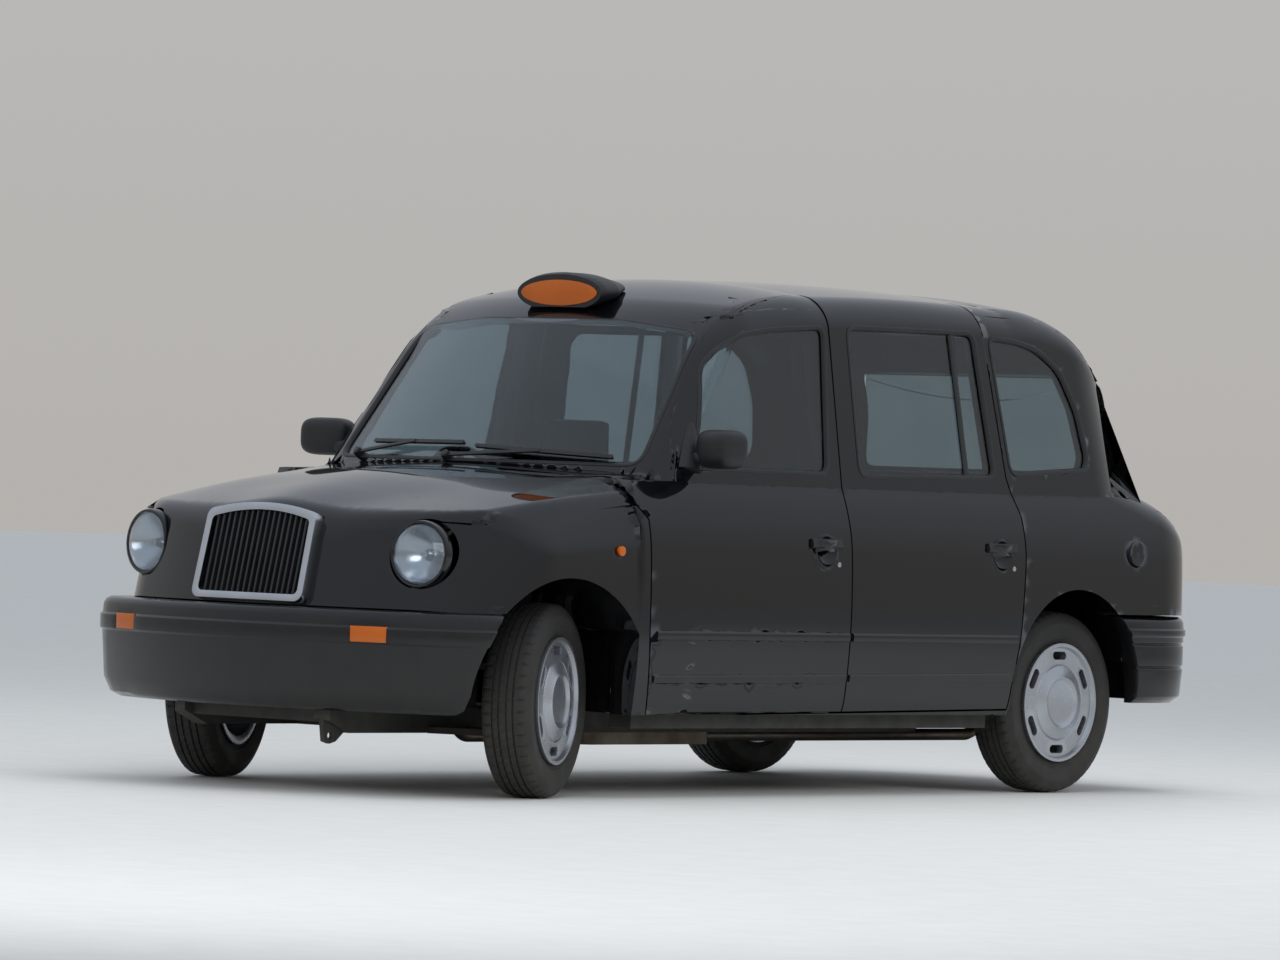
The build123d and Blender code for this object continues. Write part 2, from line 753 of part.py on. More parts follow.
# Headlamps: middle of the glass, its radius and the body behind it
LAMP_X = 633
LAMP_Y = front(-508)
LAMP_Z = 822
LAMP_R = 104
LAMP_BEZEL_R = 118
LAMP_DEPTH = 110
LAMP_DOME = 15

# Grille: it leans back from its foot
GRILLE_FOOT = (0, front(-661), 640)
GRILLE_LEAN = 0.236
GRILLE_HALF = 256
GRILLE_TOP_HALF = 250
GRILLE_SHOULDER = 312
GRILLE_CREST = 342
GRILLE_BAND = 26
GRILLE_DEPTH = 34
SLAT_COUNT = 18
SLAT_T = 9


def bonnet_zone(drop=0):
    """Everything above the bonnet's edge line, lowered by the drop."""
    line = tuple((y, z - drop) for y, z in BONNET_LINE)
    return side_plate(line + ((front(-900), 1300), (COWL_Y + PAST, 1300)), -950, 950)


def grille_plate(inset, back, ahead):
    """The grille's outline, moved in by the inset, between two depths along its leaning plane."""
    plane = Plane(origin=GRILLE_FOOT, x_dir=(1, 0, 0), z_dir=(0, -1, GRILLE_LEAN))
    with BuildPart() as part:
        with BuildSketch(plane.offset(-back)):
            with BuildLine():
                Polyline(
                    (-GRILLE_TOP_HALF + inset, GRILLE_SHOULDER - inset),
                    (-GRILLE_HALF + inset, inset),
                    (GRILLE_HALF - inset, inset),
                    (GRILLE_TOP_HALF - inset, GRILLE_SHOULDER - inset),
                )
                ThreePointArc(
                    (GRILLE_TOP_HALF - inset, GRILLE_SHOULDER - inset),
                    (0, GRILLE_CREST - inset),
                    (-GRILLE_TOP_HALF + inset, GRILLE_SHOULDER - inset),
                )
            make_face()
            fillet(vertices(), radius=34 - max(inset, 0) * 0.6)
        extrude(amount=back + ahead)
    return part.part


def lamp_drum(radius, low, high):
    """A round space or body along the car at the left lamp."""
    with BuildPart() as part:
        with BuildSketch(Plane.XZ.offset(-low)):
            with Locations((LAMP_X, LAMP_Z)):
                Circle(radius)
        extrude(amount=low - high)
    return part.part


lamp_bore = lamp_drum(LAMP_BEZEL_R + SEAM, front(-700), front(-350))
lamp_gap = lamp_drum(LAMP_BEZEL_R + GAP, front(-700), front(-350))
grille_bore = grille_plate(-SEAM, 140, 120)

# Bonnet
with BuildPart() as bonnet:
    add(common(front_skin, bonnet_zone()))
    add(block((-950, 950), (COWL_Y - GAP, COWL_Y + 50), (800, 1300)), mode=Mode.SUBTRACT)
    add(grille_plate(-GAP, 140, 120), mode=Mode.SUBTRACT)
    for bore in (lamp_gap, mirror(lamp_gap, about=Plane.YZ)):
        add(bore, mode=Mode.SUBTRACT)
    for side in (-1, 1):
        add(hinge_pin(side, BONNET_HINGE, BONNET_HINGE_X - 30, 30, ((0, -4), (-6, -4), (-6, 0), (0, 2.6))))
save(bonnet.part, "bonnet")

# Front panel round the grille and between the lamps
nose_zone = block((-NOSE_PANEL_HALF, NOSE_PANEL_HALF), (NOSE_Y, NOSE_PANEL_BACK), (NOSE_PANEL_BASE, 1200))
with BuildPart() as front_panel:
    add(common(front_skin, nose_zone))
    add(bonnet_zone(GAP), mode=Mode.SUBTRACT)
    add(grille_bore, mode=Mode.SUBTRACT)
    add(lamp_bore, mode=Mode.SUBTRACT)
    add(mirror(lamp_bore, about=Plane.YZ), mode=Mode.SUBTRACT)
save(front_panel.part, "front_panel")

# Side repeater: place along the car and height, radius, and how far out it reaches
REPEATER_PLACE = (front(253), 852)
REPEATER_R = 17
REPEATER_X = (868, 892)

# Left wing: its skin, the arch's liner and the inner panel beside the engine
with BuildPart() as wing:
    add(common(front_skin, block((0, 950), (NOSE_Y, COWL_Y - SEAM), (SILL_Z, 1200))))
    add(nose_zone, mode=Mode.SUBTRACT)
    add(block((0, 950), (NOSE_Y, FRONT_AXLE_Y), (SILL_Z - 5, NOSE_PANEL_BASE)), mode=Mode.SUBTRACT)
    add(lamp_bore, mode=Mode.SUBTRACT)
    liner = arch_cut(FRONT_AXLE_Y, FRONT_ARCH, WELL_INNER_X - 16, 880, LINER_T)
    liner = liner - block((0, 950), (NOSE_Y, TAIL_Y), (0, NOSE_PANEL_BASE - 60))
    add(common(liner, front_inner))
    add(
        side_plate(
            (
                (front(-500), 560),
                (front(360), 560),
                (front(360), 920),
                (front(-300), 860),
                (front(-500), 820),
            ),
            WELL_INNER_X - 16,
            WELL_INNER_X,
        )
    )
    add(front_arch, mode=Mode.SUBTRACT)
    add(bonnet_zone(GAP), mode=Mode.SUBTRACT)
    add(block((0, 300), (NOSE_Y, COWL_Y), (0, 1300)), mode=Mode.SUBTRACT)
    add(door_zone(FRONT_DOOR, GAP), mode=Mode.SUBTRACT)
    with BuildSketch(Plane.YZ.offset(REPEATER_X[0] - SEAM)):
        with Locations(REPEATER_PLACE):
            Circle(REPEATER_R + SEAM)
    extrude(amount=PAST, mode=Mode.SUBTRACT)
save_pair(wing.part, "wing")

# Lamps in the nose
lamp_round = (LAMP_R**2 + LAMP_DOME**2) / (2 * LAMP_DOME)
with BuildPart() as headlamp:
    with BuildSketch(Plane(origin=(LAMP_X, 0, LAMP_Z), x_dir=(1, 0, 0), z_dir=(0, 0, 1))):
        with BuildLine():
            Polyline(
                (0, LAMP_Y + LAMP_DEPTH),
                (60, LAMP_Y + LAMP_DEPTH),
                (LAMP_BEZEL_R, LAMP_Y + 45),
                (LAMP_BEZEL_R, LAMP_Y - 2),
                (LAMP_BEZEL_R - 6, LAMP_Y - 8),
                (LAMP_R, LAMP_Y - 4),
            )
            RadiusArc((LAMP_R, LAMP_Y - 4), (0, LAMP_Y - 4 - LAMP_DOME), lamp_round)
            Line((0, LAMP_Y - 4 - LAMP_DOME), (0, LAMP_Y + LAMP_DEPTH))
        make_face()
    revolve(axis=Axis((LAMP_X, 0, LAMP_Z), (0, 1, 0)))
save_twins(headlamp.part, "headlamps")

# Grille: a bright surround and the dark bars inside it
with BuildPart() as grille_surround:
    add(grille_plate(0, GRILLE_DEPTH, 14))
    add(grille_plate(GRILLE_BAND, GRILLE_DEPTH + 5, 20), mode=Mode.SUBTRACT)
save(grille_surround.part, "grille_surround")
with BuildPart() as grille_bars:
    add(grille_plate(GRILLE_BAND + SEAM, GRILLE_DEPTH, -GRILLE_DEPTH + 5))
    grille_plane = Plane(origin=GRILLE_FOOT, x_dir=(1, 0, 0), z_dir=(0, -1, GRILLE_LEAN))
    slat_plane = grille_plane.offset(-GRILLE_DEPTH + 5)
    with BuildSketch(slat_plane):
        pitch = 2 * (GRILLE_HALF - GRILLE_BAND) / SLAT_COUNT
        with Locations((0, GRILLE_CREST / 2)):
            with GridLocations(pitch, 1, SLAT_COUNT - 1, 1):
                Rectangle(SLAT_T, GRILLE_CREST)
    extrude(amount=GRILLE_DEPTH)
    add(grille_plate(GRILLE_BAND + SEAM, GRILLE_DEPTH + 2, 8), mode=Mode.INTERSECT)
save(grille_bars.part, "grille_bars")

# Bumpers: each profile row is a height and how far in the face lies there
BUMPER_HALF = SIDE_HALF - 1
STRIP_PROUD = 7
FRONT_BUMPER_PROFILE = (
    (283, 58),
    (300, 30),
    (350, 10),
    (512, 0),
    (520, -STRIP_PROUD),
    (566, -STRIP_PROUD),
    (574, 0),
    (604, 2),
    (620, 9),
    (628, 22),
)
REAR_BUMPER_PROFILE = (
    (335, 40),
    (360, 8),
    (461, 0),
    (465, 6),
    (471, 6),
    (475, 0),
    (547, 0),
    (551, 6),
    (557, 6),
    (561, 0),
    (580, 0),
    (586, -STRIP_PROUD),
    (606, -STRIP_PROUD),
    (612, 0),
    (636, 2),
    (649, 10),
    (REAR_BUMPER_TOP, 24),
)
FRONT_BUMPER_SHAPE = (NOSE_Y + STRIP_PROUD, front(-512), front(-200), 330)
REAR_BUMPER_SHAPE = (TAIL_Y - STRIP_PROUD, rear(834), rear(100), 380)
FRONT_BUMPER_DEPTH = 92
REAR_BUMPER_DEPTH = 70


def bumper_plan(shape, inset, z):
    """Plan outline of a bumper with what lies behind it: tip, sides' end, back and corner radius."""
    tip_y, side_y, end_y, radius = shape
    back = 1 if end_y > tip_y else -1
    with BuildSketch(Plane.XY.offset(z)) as sketch:
        with BuildLine():
            wide = BUMPER_HALF - inset
            tip = tip_y + back * inset
            side = side_y + back * inset
            Polyline((wide, side), (wide, end_y), (-wide, end_y), (-wide, side))
            ThreePointArc((-wide, side), (0, tip), (wide, side))
        face = make_face()
        corners = face.vertices().sort_by_distance((0, tip, z))[:2]
        fillet(corners, radius=radius - inset)
    return sketch.sketch


def bumper(shape, depth, profile):
    """A bumper that wraps round an end of the car, with its face shaped by the profile's rows."""
    low, high = profile[0][0], profile[-1][0]
    with BuildPart() as part:
        loft([bumper_plan(shape, inset, z) for z, inset in profile], ruled=True)
        extrude(bumper_plan(shape, depth, low), amount=high - low, mode=Mode.SUBTRACT)
    return part.part


INDICATOR_X = (502, 628)
INDICATOR_Z = (520, 574)
INDICATOR_BED = 18
indicator_ring = bumper(FRONT_BUMPER_SHAPE, INDICATOR_BED, ((INDICATOR_Z[0], -6), (INDICATOR_Z[1], -6)))
indicator = common(indicator_ring, block(INDICATOR_X, (NOSE_Y - PAST, FRONT_AXLE_Y), INDICATOR_Z, 0))
pocket_ring = bumper(
    FRONT_BUMPER_SHAPE,
    INDICATOR_BED + SEAM,
    ((INDICATOR_Z[0] - SEAM, -30), (INDICATOR_Z[1] + SEAM, -30)),
)
pocket_x = (INDICATOR_X[0] - SEAM, INDICATOR_X[1] + SEAM)
pocket_z = (INDICATOR_Z[0] - 1, INDICATOR_Z[1] + 1)
pocket = common(pocket_ring, block(pocket_x, (NOSE_Y - PAST, FRONT_AXLE_Y), pocket_z))
front_arch_cut = arch_cut(FRONT_AXLE_Y, FRONT_ARCH, 0, 960, LINER_T + SEAM)
rear_arch_cut = arch_cut(REAR_AXLE_Y, REAR_ARCH, 0, 960, LINER_T + SEAM)
with BuildPart() as front_bumper:
    add(bumper(FRONT_BUMPER_SHAPE, FRONT_BUMPER_DEPTH, FRONT_BUMPER_PROFILE))
    for cut in (front_arch_cut, pocket):
        add(cut, mode=Mode.SUBTRACT)
        add(mirror(cut, about=Plane.YZ), mode=Mode.SUBTRACT)
save(front_bumper.part, "front_bumper")
with BuildPart() as rear_bumper:
    add(bumper(REAR_BUMPER_SHAPE, REAR_BUMPER_DEPTH, REAR_BUMPER_PROFILE))
    add(rear_arch_cut, mode=Mode.SUBTRACT)
    add(mirror(rear_arch_cut, about=Plane.YZ), mode=Mode.SUBTRACT)
save(rear_bumper.part, "rear_bumper")

# Wheels: rim, dish and raised ring in section, as radius and distance outwards from the wheel's middle
RIM_LIP = 218
DISH = (
    (30, -10),
    (75, -10),
    (75, 50),
    (188, 50),
    (188, -78),
    (RIM_R - 10, -84),
    (RIM_LIP, -84),
    (RIM_LIP, -78),
    (RIM_R, -72),
    (RIM_R, 72),
    (RIM_LIP, 80),
    (RIM_LIP, 89),
    (206, 89),
    (200, 76),
    (142, 80),
    (138, 76),
    (134, 82),
    (104, 90),
    (93, 98),
    (82, 90),
    (70, 87),
    (0, 87),
    (0, 60),
    (30, 60),
)
VENT_R = 172
VENT_LENGTH = 80
VENT_WIDTH = 30

with BuildPart() as wheel:
    with BuildSketch(Plane.XY):
        with BuildLine():
            Polyline(*((a, r) for r, a in DISH), close=True)
        make_face()
    revolve(axis=Axis.X)
    with BuildSketch(Plane.YZ.offset(40)):
        with PolarLocations(VENT_R, 6, 30):
            with Locations(Rotation(0, 0, 90)):
                SlotOverall(VENT_LENGTH, VENT_WIDTH)
    extrude(amount=60, mode=Mode.SUBTRACT)
wheel = wheel.part

TYRE_HALF = TYRE_WIDTH / 2
with BuildPart() as tyre:
    with BuildSketch(Plane.XY):
        with BuildLine():
            Polyline((-68, RIM_R + SEAM), (68, RIM_R + SEAM), (72, RIM_LIP + 4))
            ThreePointArc((72, RIM_LIP + 4), (TYRE_HALF, 268), (80, 318))
            ThreePointArc((80, 318), (74, 328), (60, TYRE_R - 2))
            ThreePointArc((60, TYRE_R - 2), (0, TYRE_R), (-60, TYRE_R - 2))
            ThreePointArc((-60, TYRE_R - 2), (-74, 328), (-80, 318))
            ThreePointArc((-80, 318), (-TYRE_HALF, 268), (-72, RIM_LIP + 4))
            Line((-72, RIM_LIP + 4), (-68, RIM_R + SEAM))
        make_face()
    revolve(axis=Axis.X)
tyre = tyre.part

# Front knuckle, drawn straight ahead for the left side, from the wheel's middle
KNUCKLE_X = KINGPIN_X - TRACK_HALF
KNUCKLE_FOOT = 108
KNUCKLE_HEAD = 96
with BuildPart() as knuckle:
    with BuildSketch(Plane.YZ.offset(KNUCKLE_X - 16)):
        with BuildLine():
            Polyline(
                (-24, -KNUCKLE_FOOT),
                (24, -KNUCKLE_FOOT),
                (46, -30),
                (46, 30),
                (24, KNUCKLE_HEAD),
                (-24, KNUCKLE_HEAD),
                (-46, 30),
                (-46, -30),
                close=True,
            )
        make_face()
        fillet(vertices(), radius=10)
    extrude(amount=32)
    with BuildSketch(Plane.YZ.offset(KNUCKLE_X + 16)):
        Circle(44)
    extrude(amount=-KNUCKLE_X - 16 - 10 - SEAM)
    with BuildSketch(Plane.YZ.offset(KNUCKLE_X + 30)):
        Circle(130)
        Circle(40, mode=Mode.SUBTRACT)
    extrude(amount=14)
    with BuildSketch(Plane.XY.offset(-60)):
        with BuildLine():
            Polyline((KNUCKLE_X - 14, 20), (KNUCKLE_X + 12, 20), (KNUCKLE_X - 20, 138), (KNUCKLE_X - 44, 134), close=True)
        make_face()
    extrude(amount=16)
knuckle = knuckle.part


def place_front(solid, side):
    """A front piece at its wheel, turned by the angle that the steering rests at."""
    placed = Pos(TRACK_HALF, FRONT_AXLE_Y, AXLE_Z) * solid
    if side < 0:
        placed = mirror(placed, about=Plane.YZ)
    pin = Axis((side * KINGPIN_X, FRONT_AXLE_Y, 0), (0, 0, 1))
    return placed.rotate(pin, STEER_REST)


def place_rear(solid, side):
    """A rear piece at its wheel."""
    placed = Pos(TRACK_HALF, REAR_AXLE_Y, AXLE_Z) * solid
    return placed if side > 0 else mirror(placed, about=Plane.YZ)


for side, word in ((1, "left"), (-1, "right")):
    save(place_front(wheel, side), f"wheel_front_{word}")
    save(place_front(tyre, side), f"tyre_front_{word}")
    save(place_front(knuckle, side), f"knuckle_{word}")
    save(place_rear(wheel, side), f"wheel_rear_{word}")
    save(place_rear(tyre, side), f"tyre_rear_{word}")

# Chassis: two rails that rise over the rear axle, with their crossmembers, hangers and front arms
RAIL_LOW = 205
RAIL_HIGH = 288
RAIL_X = (300, 360)
RAIL = (
    (front(-720), RAIL_LOW + 85),
    (front(-520), RAIL_LOW),
    (rear(-300), RAIL_LOW),
    (rear(-170), 398),
    (rear(900), 398),
    (rear(900), 480),
    (rear(-325), 480),
    (rear(-392), RAIL_HIGH),
    (front(-480), RAIL_HIGH),
    (front(-720), RAIL_HIGH + 70),
)
ARM_T = 22
LOWER_ARM_Z = AXLE_Z - KNUCKLE_FOOT - ARM_T / 2 - SEAM
UPPER_ARM_Z = AXLE_Z + KNUCKLE_HEAD + ARM_T / 2 + SEAM
CROSSMEMBERS = (
    # place, low side, high side, width
    (front(-560), 240, 310, 60),
    (front(0), 205, 262, 130),
    (front(720), 210, 280, 70),
    (front(1600), 210, 280, 70),
    (rear(-500), 210, 280, 70),
    (rear(240), 404, 474, 60),
    (rear(790), 404, 474, 60),
)
TOW_X = 330
TOW_T = 16
TOW_BORE_R = 13
TOW_EYES = (
    # place and height of the bore, then the eye's outline
    (
        front(-590),
        196,
        (
            (front(-520), 208),
            (front(-560), 176),
            (front(-590), 168),
            (front(-620), 176),
            (front(-632), 252),
            (front(-560), 232),
        ),
    ),
    (rear(790), 302, ((rear(740), 402), (rear(764), 286), (rear(790), 274), (rear(816), 286), (rear(830), 402))),
)
SPRING_X = (480, 536)
SPRING_REACH = 298
with BuildPart() as chassis:
    for side in (-1, 1):
        x = sorted((side * RAIL_X[0], side * RAIL_X[1]))
        add(side_plate(RAIL, *x))
        # Spring hangers
        hanger = sorted((side * RAIL_X[1], side * SPRING_X[1]))
        for y in (-SPRING_REACH, SPRING_REACH):
            add(block(hanger, (rear(y) - 22, rear(y) + 22), (404, 470)))
    # Towing eyes under the left rail, one at each end
    for y, z, outline in TOW_EYES:
        add(side_plate(outline, TOW_X - TOW_T / 2, TOW_X + TOW_T / 2))
        with BuildSketch(Plane.YZ.offset(TOW_X - TOW_T)):
            with Locations((y, z)):
                Circle(TOW_BORE_R)
        extrude(amount=2 * TOW_T, mode=Mode.SUBTRACT)
    # The rails end at the backs of the bumpers
    for ends in (
        bumper(FRONT_BUMPER_SHAPE, FRONT_BUMPER_DEPTH + SEAM, ((0, 0), (700, 0))),
        bumper(REAR_BUMPER_SHAPE, REAR_BUMPER_DEPTH + SEAM, ((0, 0), (700, 0))),
    ):
        add(ends, mode=Mode.SUBTRACT)
    add(block((-950, 950), (NOSE_Y - 50, front(-700)), (0, 700)), mode=Mode.SUBTRACT)
save(chassis.part, "chassis")

with BuildPart() as crossmembers:
    between = RAIL_X[0] - SEAM
    for y, low, high, width in CROSSMEMBERS:
        add(block((-between, between), (y - width / 2, y + width / 2), (low, high)))
    # The last one ends at the back of the rear bumper
    add(bumper(REAR_BUMPER_SHAPE, REAR_BUMPER_DEPTH + SEAM, ((0, 0), (700, 0))), mode=Mode.SUBTRACT)
save(crossmembers.part, "crossmembers")

# Front suspension: towers on the rails with the upper arms, and the lower arms on the rails' sides
with BuildPart() as front_suspension:
    for side in (-1, 1):
        x = sorted((side * RAIL_X[0], side * RAIL_X[1]))
        add(block(x, (front(-130), front(130)), (RAIL_HIGH + SEAM, UPPER_ARM_Z + 20)))
        for z in (LOWER_ARM_Z, UPPER_ARM_Z):
            root = RAIL_X[1] + SEAM if z == LOWER_ARM_Z else RAIL_X[1] - 20
            arm = [
                (side * root, front(-120)),
                (side * (KINGPIN_X - 34), front(-26)),
                (side * (KINGPIN_X + 6), front(-14)),
                (side * (KINGPIN_X + 6), front(14)),
                (side * (KINGPIN_X - 34), front(26)),
                (side * root, front(120)),
                (side * root, front(70)),
                (side * (KINGPIN_X - 80), front(0)),
                (side * root, front(-70)),
            ]
            add(top_plate(arm, z - ARM_T / 2, z + ARM_T / 2))
save(front_suspension.part, "front_suspension")

# Rear axle with its leaf springs
DRUM_R = 140
with BuildPart() as rear_axle:
    for side in (-1, 1):
        with BuildSketch(Plane.YZ.offset(side * (TRACK_HALF - 10 - SEAM))):
            with Locations((REAR_AXLE_Y, AXLE_Z)):
                Circle(38)
        extrude(amount=-side * (TRACK_HALF - 10 - SEAM))
        with BuildSketch(Plane.YZ.offset(side * 606)):
            with Locations((REAR_AXLE_Y, AXLE_Z)):
                Circle(DRUM_R)
        extrude(amount=side * 70)
        x = sorted((side * SPRING_X[0], side * SPRING_X[1]))
        leaf = ((-SPRING_REACH - 10, 374), (-190, 304), (0, 284), (190, 304), (SPRING_REACH + 10, 374))
        spring = tuple((rear(y), z - SEAM) for y, z in leaf)
        add(side_plate(spring + tuple((y, z + 30) for y, z in reversed(spring)), *x))
    with Locations((0, REAR_AXLE_Y, AXLE_Z)):
        Sphere(124)
save(rear_axle.part, "rear_axle")

# Engine with its gearbox, exhaust and fuel tank
with BuildPart() as engine:
    add(block((-190, 190), (front(-360), front(260)), (280, 800), 30))
    add(block((-120, 120), (front(260), front(355)), (292, 560), 20))
save(engine.part, "engine")
PIPE_R = 22
PIPE_X = 190 + PIPE_R + SEAM
PIPE_Z = 210 - SEAM - PIPE_R
PIPE_ROUTE = (
    (PIPE_X, front(120), 420),
    (PIPE_X, front(210), PIPE_Z),
    (PIPE_X, rear(200), PIPE_Z),
    (PIPE_X, rear(420), 262),
    (PIPE_X, rear(912), 262),
)
with BuildPart() as exhaust:
    with BuildLine() as route:
        FilletPolyline(*PIPE_ROUTE, radius=70)
    with BuildSketch(Plane(origin=route.line @ 0, z_dir=route.line % 0)):
        Circle(PIPE_R)
    sweep()
    add(block((150, 285), (front(800), front(1500)), (158, 284), 40))
save(exhaust.part, "exhaust")
fuel_tank = save(block((-280, 130), (rear(225), rear(700)), (250, 404 - SEAM), 40), "fuel_tank")

# Inside: dashboard, steering wheel, driver's seat, partition, tip-up seats and rear bench
DRIVER_X = -370
DASH_TOP_Z = 1034.6
WHEEL_HUB = Vector(DRIVER_X, front(880), 1010)
COLUMN_AXIS = Vector(0, 0.914, 0.407)
column_head = tuple(WHEEL_HUB - COLUMN_AXIS * SEAM)
column_foot = tuple(WHEEL_HUB - COLUMN_AXIS * 210)
with BuildPart() as dashboard:
    dash = (
        (front(480), DASH_TOP_Z),
        (front(480), 820),
        (front(560), 700),
        (front(640), 720),
        (front(760), 900),
        (front(760), 1000),
        (front(720), 1056),
        (front(640), DASH_TOP_Z + 4),
    )
    add(side_plate(dash, -725, 725))
    add(bar(column_foot, column_head, 28))
save(dashboard.part, "dashboard")
with BuildPart() as steering_wheel:
    wheel_plane = Plane(origin=WHEEL_HUB, x_dir=(1, 0, 0), z_dir=COLUMN_AXIS)
    with BuildSketch(wheel_plane):
        Circle(34)
    extrude(amount=20)
    with BuildSketch(wheel_plane.offset(4)):
        Rectangle(370, 26)
        with Locations((0, -90)):
            Rectangle(26, 180)
    extrude(amount=10)
    with BuildSketch(Plane(origin=wheel_plane.origin + wheel_plane.z_dir * 9, x_dir=wheel_plane.x_dir, z_dir=wheel_plane.y_dir)):
        with Locations((188, 0)):
            Circle(13)
    revolve(axis=Axis(wheel_plane.origin, wheel_plane.z_dir))
save(steering_wheel.part, "steering_wheel")
SEAT_BACK = ((front(1290), 560), (front(1400), 560), (front(1500), 1130), (front(1420), 1150))
with BuildPart() as driver_seat:
    add(block((DRIVER_X - 190, DRIVER_X + 190), (front(960), front(1340)), (FLOOR_Z, 470), 20))
    add(block((DRIVER_X - 250, DRIVER_X + 250), (front(880), front(1400)), (470, 600), 50))
    add(side_plate(SEAT_BACK, DRIVER_X - 245, DRIVER_X + 245))
    headrest = ((front(1425), 1140), (front(1500), 1120), (front(1490), 1300), (front(1425), 1310))
    add(side_plate(headrest, DRIVER_X - 140, DRIVER_X + 140))
save(driver_seat.part, "driver_seat")
PARTITION_Y = B_LINE_Y + 48
with BuildPart() as partition:
    partition_layer = block((-900, 900), (PARTITION_Y, PARTITION_Y + 20), (FLOOR_Z, 1800))
    add(common(cab_form(WALL + 46, ROOF_WALL), partition_layer))
    light = ((-560, 1080), (560, 1080), (520, 1620), (-520, 1620))
    add(front_plate(light, PARTITION_Y - 5, PARTITION_Y + 30, 0, 60), mode=Mode.SUBTRACT)
save(partition.part, "partition")
with BuildPart() as tip_seat:
    add(block((150, 590), (PARTITION_Y + 20 + SEAM, PARTITION_Y + 90), (520, 960), 25))
save_twins(tip_seat.part, "tip_up_seats")
with BuildPart() as rear_bench:
    add(block((-560, 560), (rear(-380), rear(190)), (REAR_FLOOR_Z, 690), 60))
    bench_back = ((rear(120), 690), (rear(190), 690), (rear(330), 1150), (rear(220), 1170), (rear(90), 700))
    add(side_plate(bench_back, -560, 560))
save(rear_bench.part, "rear_bench")

# Roof sign: an oval housing that tapers to the rear, on a foot, and its lens in front.
# Rows are the place from the front axle, half-width, half-height and middle height
SIGN_SECTIONS = (
    (905, 196, 66, 1752),
    (925, 204, 72, 1754),
    (1000, 198, 66, 1760),
    (1090, 150, 34, 1776),
)
SIGN_LENS = (176, 46)
SIGN_LENS_T = 12


def oval(place, half_width, half_height, middle_z):
    """An oval across the car."""
    with BuildSketch(Plane(origin=(0, front(place), middle_z), x_dir=(1, 0, 0), z_dir=(0, -1, 0))) as sketch:
        Ellipse(half_width, half_height)
    return sketch.sketch


sign_lens = extrude(oval(SIGN_SECTIONS[0][0] - 3, *SIGN_LENS, SIGN_SECTIONS[0][3]), amount=-SIGN_LENS_T)
sign_pocket = extrude(
    oval(SIGN_SECTIONS[0][0] - 3, SIGN_LENS[0] + SEAM, SIGN_LENS[1] + SEAM, SIGN_SECTIONS[0][3]),
    amount=-SIGN_LENS_T - SEAM,
)
with BuildPart() as roof_sign:
    loft([oval(*row) for row in SIGN_SECTIONS], ruled=True)
    add(block((-150, 150), (front(940), front(1080)), (1690, 1756), 30))
    add(sign_pocket, mode=Mode.SUBTRACT)
    add(cab_form(-SEAM, -SEAM), mode=Mode.SUBTRACT)
save(roof_sign.part, "roof_sign")
with BuildPart() as repeater:
    with BuildSketch(Plane.YZ.offset(REPEATER_X[0])):
        with Locations(REPEATER_PLACE):
            Circle(REPEATER_R)
    extrude(amount=REPEATER_X[1] - REPEATER_X[0])
repeater = repeater.part
amber = [sign_lens, indicator, mirror(indicator, about=Plane.YZ), repeater, mirror(repeater, about=Plane.YZ)]
save(Compound(children=[Part() + piece for piece in amber]), "amber_lamps")

# Door mirrors
with BuildPart() as mirror_left:
    add(block((862, 1018), (front(660), front(760)), (1140, 1290), 40))
    add(block((795, 880), (front(690), front(725)), (1170, 1215)))
    add(side_plate(((front(650), 1150), (front(790), 1150), (front(770), 1300), (front(740), 1290)), 780, 826))
    add(outer_form, mode=Mode.SUBTRACT)
save_pair(mirror_left.part, "mirror")
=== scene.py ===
"""A tall black taxi cab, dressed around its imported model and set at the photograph's viewing angle."""
import json
from math import pi, radians

import bmesh
import bpy
import numpy as np
from mathutils import Matrix, Vector
from mathutils.kdtree import KDTree


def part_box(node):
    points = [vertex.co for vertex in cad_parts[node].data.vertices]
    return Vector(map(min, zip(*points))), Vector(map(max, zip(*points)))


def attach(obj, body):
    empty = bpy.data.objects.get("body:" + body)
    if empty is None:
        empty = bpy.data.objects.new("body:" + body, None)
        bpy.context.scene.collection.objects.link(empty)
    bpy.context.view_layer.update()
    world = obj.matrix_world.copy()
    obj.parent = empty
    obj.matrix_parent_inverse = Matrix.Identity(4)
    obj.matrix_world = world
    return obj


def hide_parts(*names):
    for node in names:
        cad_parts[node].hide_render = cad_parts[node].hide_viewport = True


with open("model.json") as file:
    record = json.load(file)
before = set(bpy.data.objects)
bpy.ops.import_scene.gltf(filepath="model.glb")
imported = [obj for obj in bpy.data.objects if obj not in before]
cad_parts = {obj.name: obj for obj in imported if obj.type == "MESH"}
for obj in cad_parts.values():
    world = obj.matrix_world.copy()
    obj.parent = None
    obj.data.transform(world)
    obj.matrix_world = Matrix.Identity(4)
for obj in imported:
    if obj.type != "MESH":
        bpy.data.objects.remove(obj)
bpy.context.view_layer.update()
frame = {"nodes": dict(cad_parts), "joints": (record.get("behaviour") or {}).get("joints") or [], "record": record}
MM = 0.001
# The front axle's place along the car; helper shapes are in millimetres until to_mesh brings them to metres
FRONT_AXLE = -1522.5
DUST = "#5a564e"


# Values and node helpers
def linear(hex_colour):
    """A colour's sRGB hex value as linear red, green, blue and an alpha of one."""
    channels = [int(hex_colour[i : i + 2], 16) / 255 for i in (1, 3, 5)]
    return (*[c / 12.92 if c <= 0.04045 else ((c + 0.055) / 1.055) ** 2.4 for c in channels], 1)


